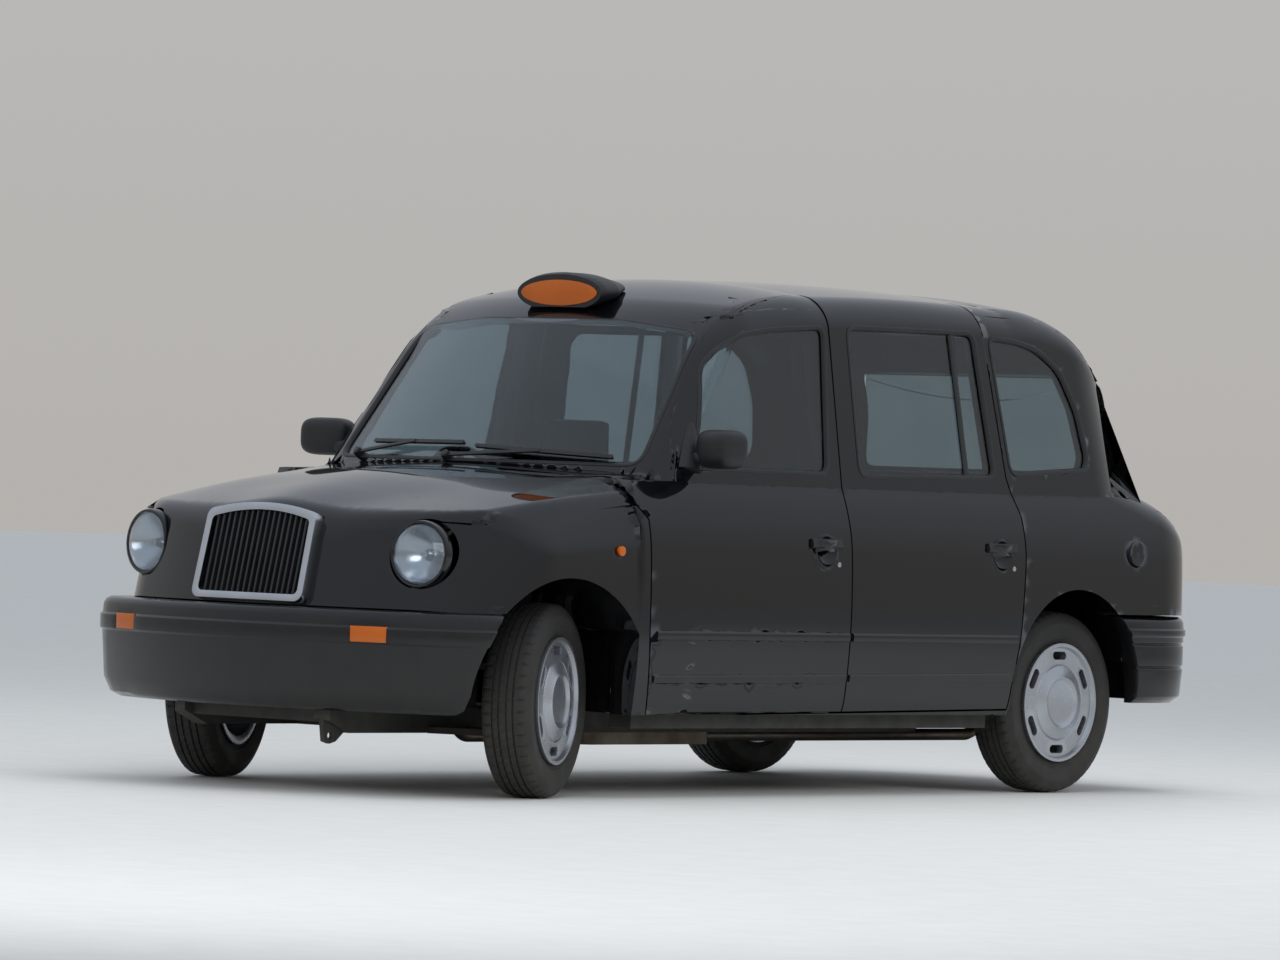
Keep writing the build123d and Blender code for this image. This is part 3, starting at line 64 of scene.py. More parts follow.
def add(tree, kind, inputs=(), **settings):
    """One node with its settings, its inputs given as values or as the sockets that they come from."""
    made = tree.nodes.new(kind)
    for key, value in settings.items():
        setattr(made, key, value)
    for key, value in dict(inputs).items():
        if isinstance(value, bpy.types.NodeSocket):
            tree.links.new(value, made.inputs[key])
        else:
            made.inputs[key].default_value = value
    return made


def noise(tree, place, size_mm, detail=4.0, roughness=0.55):
    """Cloudy noise whose patches are about the given size."""
    values = {"Vector": place, "Scale": 1 / (size_mm * MM), "Detail": detail, "Roughness": roughness}
    return add(tree, "ShaderNodeTexNoise", values).outputs["Fac"]


def spread(tree, value, low, high, start=0.3, end=0.7):
    """A value moved from its range start..end into low..high."""
    ends = {"Value": value, "From Min": start, "From Max": end, "To Min": low, "To Max": high}
    return add(tree, "ShaderNodeMapRange", ends).outputs["Result"]


def blend_colours(tree, share, first, second):
    """Two colours mixed by a share."""
    mix = add(tree, "ShaderNodeMix", {0: share}, data_type="RGBA")
    for index, colour in ((6, first), (7, second)):
        if isinstance(colour, str):
            mix.inputs[index].default_value = linear(colour)
        else:
            tree.links.new(colour, mix.inputs[index])
    return mix.outputs[2]


def finish_material(name, colour, dull, roughness, grain, bump, dust=0.0, **shader):
    """A surface with a second tone in patches, uneven gloss, fine grain and dust that thickens downwards."""
    made = bpy.data.materials.new(name)
    made.use_nodes = True
    tree = made.node_tree
    tree.nodes.clear()
    place = add(tree, "ShaderNodeTexCoord").outputs["Object"]
    patches = noise(tree, place, 180)
    tone = blend_colours(tree, spread(tree, patches, 0, 1), colour, dull)
    if dust:
        height = add(tree, "ShaderNodeSeparateXYZ", {"Vector": place}).outputs["Z"]
        low = spread(tree, height, dust, 0, 0.15, 0.75)
        clouds = {0: low, 1: noise(tree, place, 60)}
        cloud = add(tree, "ShaderNodeMath", clouds, operation="MULTIPLY").outputs[0]
        tone = blend_colours(tree, cloud, tone, DUST)
    uneven = spread(tree, noise(tree, place, 90), roughness[0], roughness[1])
    fine = noise(tree, place, grain, 2.0)
    height = {"Height": fine, "Strength": bump, "Distance": 0.0004}
    normal = add(tree, "ShaderNodeBump", height).outputs["Normal"]
    values = {"Base Color": tone, "Roughness": uneven, "Normal": normal}
    values.update({key.replace("_", " "): value for key, value in shader.items()})
    surface = add(tree, "ShaderNodeBsdfPrincipled", values)
    out = add(tree, "ShaderNodeOutputMaterial")
    tree.links.new(surface.outputs[0], out.inputs["Surface"])
    return made


MATERIALS = {
    # Black coach enamel under lacquer: deep, wet, with the faintest ripple
    "body_paint": finish_material(
        "coach_enamel", "#060709", "#08090c", (0.03, 0.06), 14, 0.03, 0.05, IOR=1.5
    ),
    # Moulded polyurethane, painted with the body but softer in its shine
    "bumper_paint": finish_material(
        "moulded_bumper_skin", "#08090b", "#0b0c0e", (0.14, 0.22), 9, 0.05, 0.15, IOR=1.48
    ),
    # Float glass with a faint blue-green body tint
    "window_glass": finish_material(
        "float_glass", "#9fb0b8", "#a6b6bd", (0.0, 0.02), 60, 0.0, Transmission_Weight=1.0, IOR=1.5
    ),
    # Thick pressed glass of the headlamps
    "lamp_glass": finish_material(
        "pressed_lamp_glass", "#eef3f6", "#e6edf1", (0.01, 0.03), 30, 0.0, Transmission_Weight=1.0, IOR=1.5
    ),
    # Indicators, side repeaters and the roof sign's lens
    "amber_plastic": finish_material(
        "amber_acrylic", "#e07412", "#d2660c", (0.08, 0.14), 5, 0.1, 0.1, Transmission_Weight=0.35, IOR=1.49
    ),
    # Tail lamps
    "red_plastic": finish_material(
        "red_acrylic", "#8e0c10", "#7c0a0d", (0.08, 0.14), 5, 0.1, 0.1, Transmission_Weight=0.3, IOR=1.49
    ),
    # Satin silver of the grille surround, the lamp bowls and the locks
    "bright_trim": finish_material(
        "satin_chromed_plastic", "#b9bcc2", "#aeb2b8", (0.20, 0.28), 4, 0.04, 0.12, Metallic=1.0
    ),
    # Mouldings and window rubbers, with the grain of the mould
    "black_plastic": finish_material(
        "grained_black_abs", "#131416", "#191a1c", (0.42, 0.55), 1.4, 0.35, 0.15
    ),
    # Sprayed bitumen on the chassis and the floor
    "underbody": finish_material(
        "bitumen_coated_steel", "#17181a", "#22211f", (0.6, 0.8), 6, 0.6, 0.5
    ),
    # Axle and suspension, cast and a little rusty
    "axle_iron": finish_material(
        "sand_cast_iron", "#2c2c2e", "#3a322c", (0.6, 0.8), 3, 0.7, 0.5, Metallic=0.7
    ),
    # Engine block
    "engine_iron": finish_material(
        "grey_iron_casting", "#4b4b4d", "#3d3b39", (0.5, 0.7), 3, 0.6, 0.3, Metallic=0.7
    ),
    # Exhaust, browned by heat
    "exhaust_steel": finish_material(
        "heat_dulled_steel", "#6b655e", "#574a40", (0.35, 0.55), 5, 0.3, 0.3, Metallic=1.0
    ),
    # Hard-wearing cloth with a coarse weave
    "seat_cloth": finish_material(
        "woven_seat_cloth", "#1d1f23", "#24262a", (0.8, 0.95), 1.6, 0.8, Sheen_Weight=0.3
    ),
    # Wheel trims in silver lacquer
    "wheel_silver": finish_material(
        "silver_lacquered_trim", "#b4b8be", "#aaaeb5", (0.24, 0.34), 3, 0.05, 0.08, Metallic=0.85
    ),
    # Silvered glass of the door mirrors
    "mirror_glass": finish_material(
        "silvered_glass", "#cfd6da", "#c8d0d4", (0.01, 0.02), 40, 0.0, Metallic=1.0
    ),
    # Tyres, dusty from the road
    "tyre_rubber": finish_material(
        "road_tyre_rubber", "#161617", "#201f1e", (0.62, 0.8), 2.5, 0.5, 0.35
    ),
}

# Finishes that the record files under another slot
for row in frame["record"]["subparts"]:
    node = frame["nodes"][row["node"]]
    node.data.materials.clear()
    node.data.materials.append(MATERIALS[row["material_slot"]])


# The cab's smooth form
def smooth(value, places, levels):
    """A smooth line through a table's points, straight past its ends; a table's entries may be arrays."""
    x = [np.broadcast_to(p, value.shape) for p in places]
    z = [np.broadcast_to(p, value.shape) for p in levels]
    rise = [(z[i + 1] - z[i]) / (x[i + 1] - x[i]) for i in range(len(x) - 1)]
    slope = [rise[0]]
    for before, after in zip(rise, rise[1:]):
        same = before * after > 0
        slope.append(np.where(same, 2 * before * after / np.where(same, before + after, 1), 0))
    slope.append(rise[-1])
    out = z[0] + slope[0] * (value - x[0])
    for i in range(len(rise)):
        width = x[i + 1] - x[i]
        t = (value - x[i]) / width
        bend = (
            z[i] * (1 + 2 * t) * (1 - t) ** 2
            + slope[i] * width * t * (1 - t) ** 2
            + z[i + 1] * t * t * (3 - 2 * t)
            - slope[i + 1] * width * t * t * (1 - t)
        )
        out = np.where(t >= 0, bend, out)
    return np.where(value > x[-1], z[-1] + slope[-1] * (value - x[-1]), out)


def round_max(a, b, radius):
    """Two forms' common part with its edge rounded."""
    corner = np.hypot(np.maximum(a + radius, 0), np.maximum(b + radius, 0))
    return np.minimum(-radius, np.maximum(a, b)) + corner


SIDE_LINE = (
    # height and half width of the body below its waist
    (250, 840), (292, 853), (330, 866), (430, 878), (540, 886), (640, 889),
    (760, 887), (870, 882), (930, 874), (992, 859), (1045, 842), (1096, 822),
)
ROOF_LINE = (
    # place behind the front axle and height of the roof's middle line
    (840, 1668), (1085, 1768), (1500, 1821), (2050, 1832), (2600, 1818), (3020, 1748), (3286, 1561),
)
WAIST = 1096
BODY_HALF = 889
FRONT_SECTIONS = (
    # place, edge height, wing crown across and up, crease across and up, height at the middle
    (375, 880, 800, 1062, 600, 1108, 1134),
    (0, 862, 786, 1024, 470, 1072, 1102),
    (-300, 836, 742, 980, 366, 1014, 1048),
    (-520, 806, 660, 944, 285, 962, 992),
    (-720, 776, 600, 910, 235, 900, 930),
)
ROOF_ARCS = []
for i in (0, 2, 4):
    # The circle through three points of the roof line
    (x1, y1), (x2, y2), (x3, y3) = ROOF_LINE[i : i + 3]
    d = 2 * (x1 * (y2 - y3) + x2 * (y3 - y1) + x3 * (y1 - y2))
    cx = ((x1**2 + y1**2) * (y2 - y3) + (x2**2 + y2**2) * (y3 - y1) + (x3**2 + y3**2) * (y1 - y2)) / d
    cy = ((x1**2 + y1**2) * (x3 - x2) + (x2**2 + y2**2) * (x1 - x3) + (x3**2 + y3**2) * (x2 - x1)) / d
    ROOF_ARCS.append((x1, cx, cy, np.hypot(x1 - cx, y1 - cy)))


def roof_height(a):
    """Height of the roof's middle line, made of three arcs."""
    out = None
    for start, cx, cy, r in ROOF_ARCS:
        h = cy + np.sqrt(np.maximum(r * r - (a - cx) ** 2, 1))
        out = h if out is None else np.where(a >= start, h, out)
    return out


def lower_form(x, a, z):
    """The body below the waist, behind the bonnet."""
    side = x - smooth(z, *zip(*SIDE_LINE))
    tail = a - (3776 - 84 * (x / BODY_HALF) ** 2)
    deck = 0.944 * (z - 1097 + 0.35 * (a - 3406))
    whole = round_max(round_max(side, tail, 300), deck, 110)
    return np.maximum(np.maximum(whole, z - 1098), 361 - a)


def house_form(x, a, z):
    """The upper body with its raked screens and its arched roof."""
    half = 823 - 0.1535 * (z - WAIST)
    side = 0.9884 * (x - half)
    screen = 0.782 * (374 + 0.796 * (z - WAIST) + x * x / 3560 - a)
    tail = 0.95 * (a - 3446 + 0.168 * (z - WAIST) + 110 * (x / half) ** 2)
    roof = z - (roof_height(a) - 46 * (x / 600) ** 2)
    upright = round_max(round_max(side, screen, 100), tail, 280)
    return np.maximum(round_max(upright, roof, 95), 1094 - z)


def nose_form(x, a, z):
    """The wings and the bonnet, their top smooth through five cross sections."""
    above = z - 620
    side = x - (BODY_HALF - np.where(above < 0, 25 * (above / 328) ** 2, 9 * (above / 260) ** 2))
    sections = np.array(FRONT_SECTIONS, float)[::-1].T
    edge_z, crown_x, crown_z, crease_x, crease_z, middle_z = [
        smooth(a, sections[0], row) for row in sections[1:]
    ]
    across = [0 * a - 60, 0 * a, crease_x, crown_x, 0 * a + BODY_HALF]
    height = smooth(x, across, [middle_z, middle_z, crease_z, crown_z, edge_z])
    lid = 0.9 * (z - height)
    nose = 0.97 * (-738 + (z - 287) * 212 / 913 + 262 * (x / 891) ** 2 - a)
    edge = 60 - 30 * np.clip((x - 300) / 400, 0, 1)
    return np.maximum(round_max(round_max(side, nose, 280), lid, edge), a - 650)


def cab_form(points):
    """A value for points that is nought on the whole cab's rounded form and positive outside it."""
    place = np.abs(points[:, 0]), points[:, 1] - FRONT_AXLE, points[:, 2]
    return np.minimum(np.minimum(lower_form(*place), house_form(*place)), nose_form(*place))


def from_form(points):
    """How far outside the form points lie, in millimetres, and the way out."""
    steps = np.eye(3)
    slopes = np.stack([cab_form(points + s) - cab_form(points - s) for s in steps], 1) / 2
    steep = np.maximum(np.linalg.norm(slopes, axis=1), 0.2)
    return cab_form(points) / steep, slopes / steep[:, None]


# The cab's panels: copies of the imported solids, drawn onto one smooth form
PANEL_EDGE = 2.0
# The longest edge left in a curved panel
PANEL_SPAN = 42
# How far inside and outside the form a packed face may lie and still be the skin
SKIN_DEPTH = (-13, 150)
# Where the rest of a panel starts and ends its following of the skin
LET_GO = (130, 240)


def grown(mesh, width, turn):
    """The mesh with its doubles merged and its sharp edges rounded."""
    solid = bmesh.new()
    solid.from_mesh(mesh)
    bmesh.ops.scale(solid, vec=(1000, 1000, 1000), verts=solid.verts)
    bmesh.ops.remove_doubles(solid, verts=solid.verts, dist=0.02)
    bmesh.ops.dissolve_limit(solid, angle_limit=radians(1), verts=solid.verts, edges=solid.edges)
    if width:
        sharp = [e for e in solid.edges if len(e.link_faces) == 2 and e.calc_face_angle(0) > turn]
        bmesh.ops.bevel(
            solid, geom=sharp, offset=width, segments=2, profile=0.6, affect="EDGES", clamp_overlap=True
        )
    bmesh.ops.triangulate(solid, faces=solid.faces)
    return solid


def read_mesh(solid):
    """A bmesh's points and triangles as arrays."""
    flat = bpy.data.meshes.new("reading")
    solid.to_mesh(flat)
    points = np.empty(len(flat.vertices) * 3)
    flat.vertices.foreach_get("co", points)
    corners = np.empty(len(flat.loops), int)
    flat.loops.foreach_get("vertex_index", corners)
    bpy.data.meshes.remove(flat)
    return points.reshape(-1, 3), corners.reshape(-1, 3)


def facing(points, corners):
    """Each triangle's middle and unit normal."""
    a, b, c = points[corners[:, 0]], points[corners[:, 1]], points[corners[:, 2]]
    normal = np.cross(b - a, c - a)
    return (a + b + c) / 3, normal / np.maximum(np.linalg.norm(normal, axis=1, keepdims=True), 1e-9)


def divide(solid, wanted):
    """Split the long edges of the triangles that wanted picks, until they are short enough to curve."""
    for _ in range(9):
        points, corners = read_mesh(solid)
        pick = wanted(points, corners)
        solid.faces.ensure_lookup_table()
        picked = [edge for i in np.flatnonzero(pick) for edge in solid.faces[i].edges]
        long_edges = {edge for edge in picked if edge.calc_length() > PANEL_SPAN}
        if not long_edges:
            return
        bmesh.ops.subdivide_edges(solid, edges=sorted(long_edges, key=lambda e: e.index), cuts=1)
        bmesh.ops.triangulate(solid, faces=[f for f in solid.faces if len(f.verts) > 3])
        solid.edges.index_update()


def near_form(points, corners, tolerance=0.45):
    """The triangles that belong to the outer skin."""
    middle, normal = facing(points, corners)
    far, way = from_form(middle)
    return (far > SKIN_DEPTH[0]) & (far < SKIN_DEPTH[1]) & ((normal * way).sum(1) > tolerance)


def drawn_onto_form(points, level, rounds=7):
    """The points moved along the form's slope until they lie at that level."""
    for _ in range(rounds):
        far, way = from_form(points)
        points = points - np.clip(far - level, -25, 25)[:, None] * way
    return points


def mesh_piece(name, mesh, material, body, *nodes):
    """A finished mesh as a piece that rides on a body and stands for CAD nodes."""
    made = bpy.data.objects.new(name, mesh)
    bpy.context.scene.collection.objects.link(made)
    mesh.materials.append(material)
    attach(made, body)
    if nodes:
        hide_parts(*nodes)
    return made


def to_mesh(name, solid, soft_angle=35):
    """A bmesh in millimetres as a mesh in metres, smooth up to an angle."""
    bmesh.ops.scale(solid, vec=(MM, MM, MM), verts=solid.verts)
    made = bpy.data.meshes.new(name)
    solid.to_mesh(made)
    solid.free()
    made.polygons.foreach_set("use_smooth", [True] * len(made.polygons))
    made.set_sharp_from_angle(angle=radians(soft_angle))
    return made


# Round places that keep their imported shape: behind the front axle, height and radius
KEPT = ((1376, 868, 68), (2394, 868, 68), (3216, 889, 54), (253, 852, 22))


def coach_panel(node, material, body):
    """A body panel with its outer skin on the cab's smooth form and its thickness kept."""
    solid = grown(frame["nodes"][node].data, PANEL_EDGE, radians(50))
    divide(solid, near_form)
    points, corners = read_mesh(solid)
    outer = near_form(points, corners)
    skin = np.unique(corners[outer])
    for a, z, radius in KEPT:
        apart = np.hypot(points[skin, 1] - FRONT_AXLE - a, points[skin, 2] - z)
        skin = skin[(apart > radius) | (np.abs(points[skin, 0]) < 700)]
    tree = KDTree(len(skin))
    gap = from_form(points[skin])[0]
    for index, point in enumerate(points[skin]):
        tree.insert(point, index)
    tree.balance()
    on_skin = np.zeros(len(points), bool)
    on_skin[skin] = True
    shift = np.zeros(len(points))
    shift[skin] = gap
    for index in np.flatnonzero(~on_skin):
        _, nearest, distance = tree.find(points[index])
        hold = np.clip((LET_GO[1] - distance) / (LET_GO[1] - LET_GO[0]), 0, 1)
        shift[index] = gap[nearest] * hold
    points = points - shift[:, None] * from_form(points)[1]
    points[skin] = drawn_onto_form(points[skin], 0)
    for vert, point in zip(solid.verts, points):
        vert.co = point
    made = to_mesh(node + "_skin", solid)
    corner = np.zeros(len(made.loops), int)
    made.loops.foreach_get("vertex_index", corner)
    normals = np.array([n.vector for n in made.corner_normals])
    slope = from_form(points)[1][corner]
    follow = on_skin[corner] & ((normals * slope).sum(1) > 0.7)
    normals[follow] = slope[follow]
    made.normals_split_custom_set(normals)
    return mesh_piece(node + "_panel", made, material, body, node)


BODY_OF = {node: body for body, members in frame["record"]["behaviour"]["bodies"].items() for node in members}
for row in frame["record"]["subparts"]:
    if row["material_slot"] == "body_paint":
        panel = coach_panel(row["node"], MATERIALS["body_paint"], BODY_OF[row["node"]])


# Shapes that follow the form
def at(points):
    """Points given as across, behind the front axle and up, as the model's own points."""
    return np.asarray(points, float) + (0, FRONT_AXLE, 0)


def cast(points, direction, reach, level=0.0):
    """Points moved from outside the form against a direction until they meet it."""
    direction = np.asarray(direction, float)
    near, far = np.zeros(len(points)), np.full(len(points), float(reach))
    for _ in range(26):
        half = (near + far) / 2
        inside = cab_form(points - half[:, None] * direction) < level
        far, near = np.where(inside, half, far), np.where(inside, near, half)
    return points - ((near + far) / 2)[:, None] * direction


def on_side(outline):
    """Points of the left side, given as places behind the front axle and heights."""
    return cast(at([(960, a, z) for a, z in outline]), (1, 0, 0), 900)


def rounded(outline, radius, step=14):
    """A closed outline with its corners rounded and its sides divided."""
    points = [np.array(p, float) for p in outline]
    made = []
    for i, corner in enumerate(points):
        before, after = points[i - 1], points[(i + 1) % len(points)]
        back, ahead = before - corner, after - corner
        cut = min(radius, 0.45 * np.linalg.norm(back), 0.45 * np.linalg.norm(ahead))
        start = corner + back / np.linalg.norm(back) * cut
        end = corner + ahead / np.linalg.norm(ahead) * cut
        for t in np.linspace(0, 1, 7):
            made.append((1 - t) ** 2 * start + 2 * t * (1 - t) * corner + t * t * end)
    return resampled(made, step, closed=True)


def resampled(points, step, closed=False):
    """Points at even steps along a line."""
    points = np.array(points, float)
    if closed:
        points = np.vstack([points, points[:1]])
    length = np.concatenate([[0], np.cumsum(np.linalg.norm(np.diff(points, axis=0), axis=1))])
    count = max(2, int(length[-1] / step) + 1)
    places = np.linspace(0, length[-1], count + (1 if closed else 0))
    made = np.stack([np.interp(places, length, points[:, k]) for k in range(points.shape[1])], 1)
    return made[:-1] if closed else made


def swept(line, ways, profile, closed):
    """A bmesh with a closed profile, given as across and out, carried along a line with its ways out."""
    solid = bmesh.new()
    count = len(line)
    rings = []
    for i in range(count):
        before = line[i - 1] if closed or i else line[0]
        after = line[(i + 1) % count] if closed or i < count - 1 else line[-1]
        ahead = (after - before) / np.linalg.norm(after - before)
        across = np.cross(ahead, ways[i])
        across /= np.linalg.norm(across)
        rings.append([solid.verts.new(line[i] + u * across + v * ways[i]) for u, v in profile])
    size = len(profile)
    for i in range(count if closed else count - 1):
        for k in range(size):
            n, m = (i + 1) % count, (k + 1) % size
            solid.faces.new((rings[i][k], rings[n][k], rings[n][m], rings[i][m]))
    if not closed:
        solid.faces.new(rings[0])
        solid.faces.new(rings[-1])
    bmesh.ops.recalc_face_normals(solid, faces=solid.faces)
    return solid


def turned(profile, place, axis, segments=96, start=(0, 0, 1)):
    """A bmesh turned from a profile, given as radius and height along an axis."""
    axis = Vector(axis).normalized()
    side = Vector(start).cross(axis).normalized()
    up = axis.cross(side)
    solid = bmesh.new()
    rings = []
    for radius, height in profile:
        if radius < 1e-6:
            rings.append([solid.verts.new(Vector(place) + axis * height)])
            continue
        ring = []
        for k in range(segments):
            turn = 2 * pi * k / segments
            spoke = side * float(np.cos(turn)) + up * float(np.sin(turn))
            ring.append(solid.verts.new(Vector(place) + spoke * radius + axis * height))
        rings.append(ring)
    for low, high in zip(rings, rings[1:]):
        for k in range(segments):
            n = (k + 1) % segments
            corners = [low[k % len(low)], low[n % len(low)], high[n % len(high)], high[k % len(high)]]
            solid.faces.new(list(dict.fromkeys(corners)))
    bmesh.ops.recalc_face_normals(solid, faces=solid.faces)
    return solid


def mirrored(solid):
    """A copy of a bmesh on the other side of the car."""
    other = solid.copy()
    bmesh.ops.scale(other, vec=(-1, 1, 1), verts=other.verts)
    bmesh.ops.reverse_faces(other, faces=other.faces)
    return other


def joined(*solids):
    """Several bmeshes as one."""
    whole = bmesh.new()
    for solid in solids:
        part = bpy.data.meshes.new("part")
        solid.to_mesh(part)
        whole.from_mesh(part)
        bpy.data.meshes.remove(part)
        solid.free()
    return whole


def piece(name, solid, finish, body="body", nodes=(), soft_angle=35):
    """A bmesh as a finished piece in one of the finishes."""
    made = mesh_piece(name, to_mesh(name, solid, soft_angle), MATERIALS[finish], body, *nodes)
    return made


def both_sides(name, solid, slot, body, nodes=()):
    """A left piece and its mirror image, each on its own side's body."""
    other = mirrored(solid)
    for part, word in ((solid, "left"), (other, "right")):
        own = [n.format(word) for n in nodes]
        piece(f"{name}_{word}", part, slot, body.format(word), own)


# Window rubbers
RUBBER = ((-6, -1), (-6, 1.6), (-3, 3.2), (3, 3.2), (9, 0), (13, -8), (11, -10), (0, -7))
SIDE_WINDOWS = (
    # name, body, corner radius, places behind the front axle and heights
    (
        "front_door_rubber", "front_door_{}", 45,
        (
            (702, 1146), (784, 1340), (846, 1500), (925, 1570),
            (1043, 1623), (1204, 1648), (1501, 1666), (1455, 1140),
        ),
    ),
    ("rear_door_rubber", "rear_door_{}", 45, ((1627, 1672), (2370, 1676), (2428, 1150), (1631, 1138))),
    (
        "quarter_rubber", "body", 45,
        (
            (2520, 1162), (2452, 1664), (2616, 1656), (2750, 1628),
            (2874, 1556), (2960, 1410), (3000, 1240), (2978, 1190),
        ),
    ),
)


def ribbon(line, profile, closed=True, inward=True):
    """A profile swept along a line of the form, its across side turned to the line's middle."""
    ways = from_form(line)[1]
    if inward:
        middle = line.mean(0)
        ahead = line[1] - line[0]
        if np.dot(np.cross(ahead, ways[0]), middle - line[0]) < 0:
            line, ways = line[::-1], ways[::-1]
    return swept(line, ways, profile, closed)


for name, body, radius, outline in SIDE_WINDOWS:
    both_sides(name, ribbon(on_side(rounded(outline, radius)), RUBBER), "black_plastic", body)

# The screens' rubbers, cast onto the form from ahead and from behind
SCREEN = ((-702, 1146), (-640, 1622), (-330, 1658), (330, 1658), (640, 1622), (702, 1146))
screen_line = cast(at([(x, 100, z) for x, z in rounded(SCREEN, 55)]), (0, -1, 0), 1500)
piece("windscreen_rubber", ribbon(screen_line, RUBBER), "black_plastic")
TAIL_WINDOW = ((-560, 1172), (-500, 1560), (500, 1560), (560, 1172))
tail_line = cast(at([(x, 4200, z) for x, z in rounded(TAIL_WINDOW, 55)]), (0, 1, 0), 1500)
piece("tail_window_rubber", ribbon(tail_line, RUBBER), "black_plastic")

# The bar between the rear door's sliding light and its fixed one
BAR = ((-14, -13), (-14, -5), (-11, -3), (11, -3), (14, -5), (14, -13))
bar_line = on_side(resampled([(2262, 1152), (2236, 1664)], 30))
bar = ribbon(bar_line, BAR, closed=False, inward=False)
both_sides("rear_light_bar", bar, "black_plastic", "rear_door_{}")

# Two rub strips along the doors
STRIP = ((-15, -1), (-15, 3), (-12, 7), (-6, 9), (6, 9), (12, 7), (15, 3), (15, -1))
LOW_STRIP = ((-13, -1), (-13, 4), (-10, 7), (10, 5), (13, 3), (13, -1))
STRIPS = (
    # name, body, profile, start and end behind the front axle and height
    ("front_door_rub_strip", "front_door_{}", STRIP, (452, 566), (1514, 566)),
    ("rear_door_rub_strip", "rear_door_{}", STRIP, (1534, 566), (2494, 566)),
    ("front_door_low_strip", "front_door_{}", LOW_STRIP, (452, 414), (1514, 421)),
    ("rear_door_low_strip", "rear_door_{}", LOW_STRIP, (1534, 421), (2462, 430)),
)
for name, body, profile, start, end in STRIPS:
    line = on_side(resampled([start, end], 30))
    both_sides(name, ribbon(line, profile, closed=False, inward=False), "bumper_paint", body)

# Headlamps: a clear domed lens over a bright bowl, in a dark seat
LAMP_PLACE = (633, FRONT_AXLE - 503, 822)
LAMP_AXIS = (0.16, -1.0, 0.05)
LENS_R = 101
lens_profile = [(0, 26)] + [(LENS_R * t, 26 - 24 * t**3) for t in np.linspace(0.08, 1, 16)]
lens_profile += [(LENS_R, -4), (LENS_R - 3, -4)]
lens_profile += [(LENS_R * t - 3, 22 - 24 * t**3) for t in np.linspace(1, 0.08, 16)] + [(0, 22)]
lens_solid = turned(lens_profile, LAMP_PLACE, LAMP_AXIS)
bowl_profile = [(LENS_R - 2, -3)] + [(LENS_R * t, -4 - 62 * (1 - t**2)) for t in np.linspace(0.96, 0.2, 14)]
bowl_profile += [(16, -58), (12, -34), (0, -30)]
bowl_solid = turned(bowl_profile, LAMP_PLACE, LAMP_AXIS)
SEAT = ((1, -30), (1, 2), (4, 5), (11, 3), (14, -6), (14, -30))
seat_profile = [(LENS_R + out, height) for out, height in SEAT]
seat_solid = turned(seat_profile, LAMP_PLACE, LAMP_AXIS)
piece("headlamp_lenses", joined(lens_solid, mirrored(lens_solid)), "lamp_glass", nodes=["headlamps"])
piece("headlamp_bowls", joined(bowl_solid, mirrored(bowl_solid)), "bright_trim")
piece("headlamp_seats", joined(seat_solid, mirrored(seat_solid)), "body_paint")

# Door handles: a flap across a round bowl, with a lock below
FLAP = ((-17, -3), (-17, 5), (-13, 10), (9, 13), (15, 9), (17, 4), (17, -3))
BOWL = (
    (0, -19), (20, -18), (38, -13), (49, -4), (53, 2), (58, 2.4),
    (61, 0), (60, -4), (50, -8), (36, -18), (0, -24),
)
LOCK = ((0, 3.4), (4, 3.4), (9, 2.6), (10, 0), (10, -4), (0, -4))


def on_skin(a, z, profile, segments=64):
    """A turned part set on the left side with its axis straight out."""
    place = on_side([(a, z)])
    return turned(profile, place[0], from_form(place)[1][0], segments)


for name, body, a in (("front_door", "front_door_{}", 1376), ("rear_door", "rear_door_{}", 2394)):
    both_sides(name + "_handle_bowl", on_skin(a, 868, BOWL), "body_paint", body)
    flap_line = on_side(resampled([(a - 84, 896), (a + 84, 896)], 12))
    flap = ribbon(flap_line, FLAP, closed=False, inward=False)
    both_sides(name + "_handle_flap", flap, "black_plastic", body)
    both_sides(name + "_lock", on_skin(a + 72, 823, LOCK, 32), "bright_trim", body)

# Fuel cap on the left quarter: a dark disc, raised round its rim and in its middle
CAP = ((0, 8), (12, 8), (16, 5), (30, 4), (34, 7), (40, 7), (45, 3), (46, -4), (0, -4))
piece("fuel_cap", on_skin(3216, 889, CAP, 96), "black_plastic")


# Mirrors: a rounded head on a tall foot that narrows upwards
def pod(place, half, turn, power=0.55, rows=28, columns=48):
    """A rounded box, given by its middle, half sizes and turn about the upright."""
    solid = bmesh.new()

    def soft(value):
        return np.sign(value) * np.abs(value) ** power

    rings = []
    for i in range(1, rows):
        lift = pi * i / rows - pi / 2
        ring = []
        for k in range(columns):
            bearing = 2 * pi * k / columns
            reach = soft(np.cos(lift))
            ring.append((reach * soft(np.cos(bearing)), reach * soft(np.sin(bearing)), soft(np.sin(lift))))
        rings.append([solid.verts.new(p) for p in ring])
    low, high = solid.verts.new((0, 0, -1)), solid.verts.new((0, 0, 1))
    for k in range(columns):
        n = (k + 1) % columns
        for a, b in zip(rings, rings[1:]):
            solid.faces.new((a[k], a[n], b[n], b[k]))
        solid.faces.new((low, rings[0][n], rings[0][k]))
        solid.faces.new((high, rings[-1][k], rings[-1][n]))
    placing = Matrix.Translation(place) @ Matrix.Rotation(turn, 4, "Z") @ Matrix.Diagonal((*half, 1))
    bmesh.ops.transform(solid, matrix=placing, verts=solid.verts)
    bmesh.ops.recalc_face_normals(solid, faces=solid.faces)
    return solid


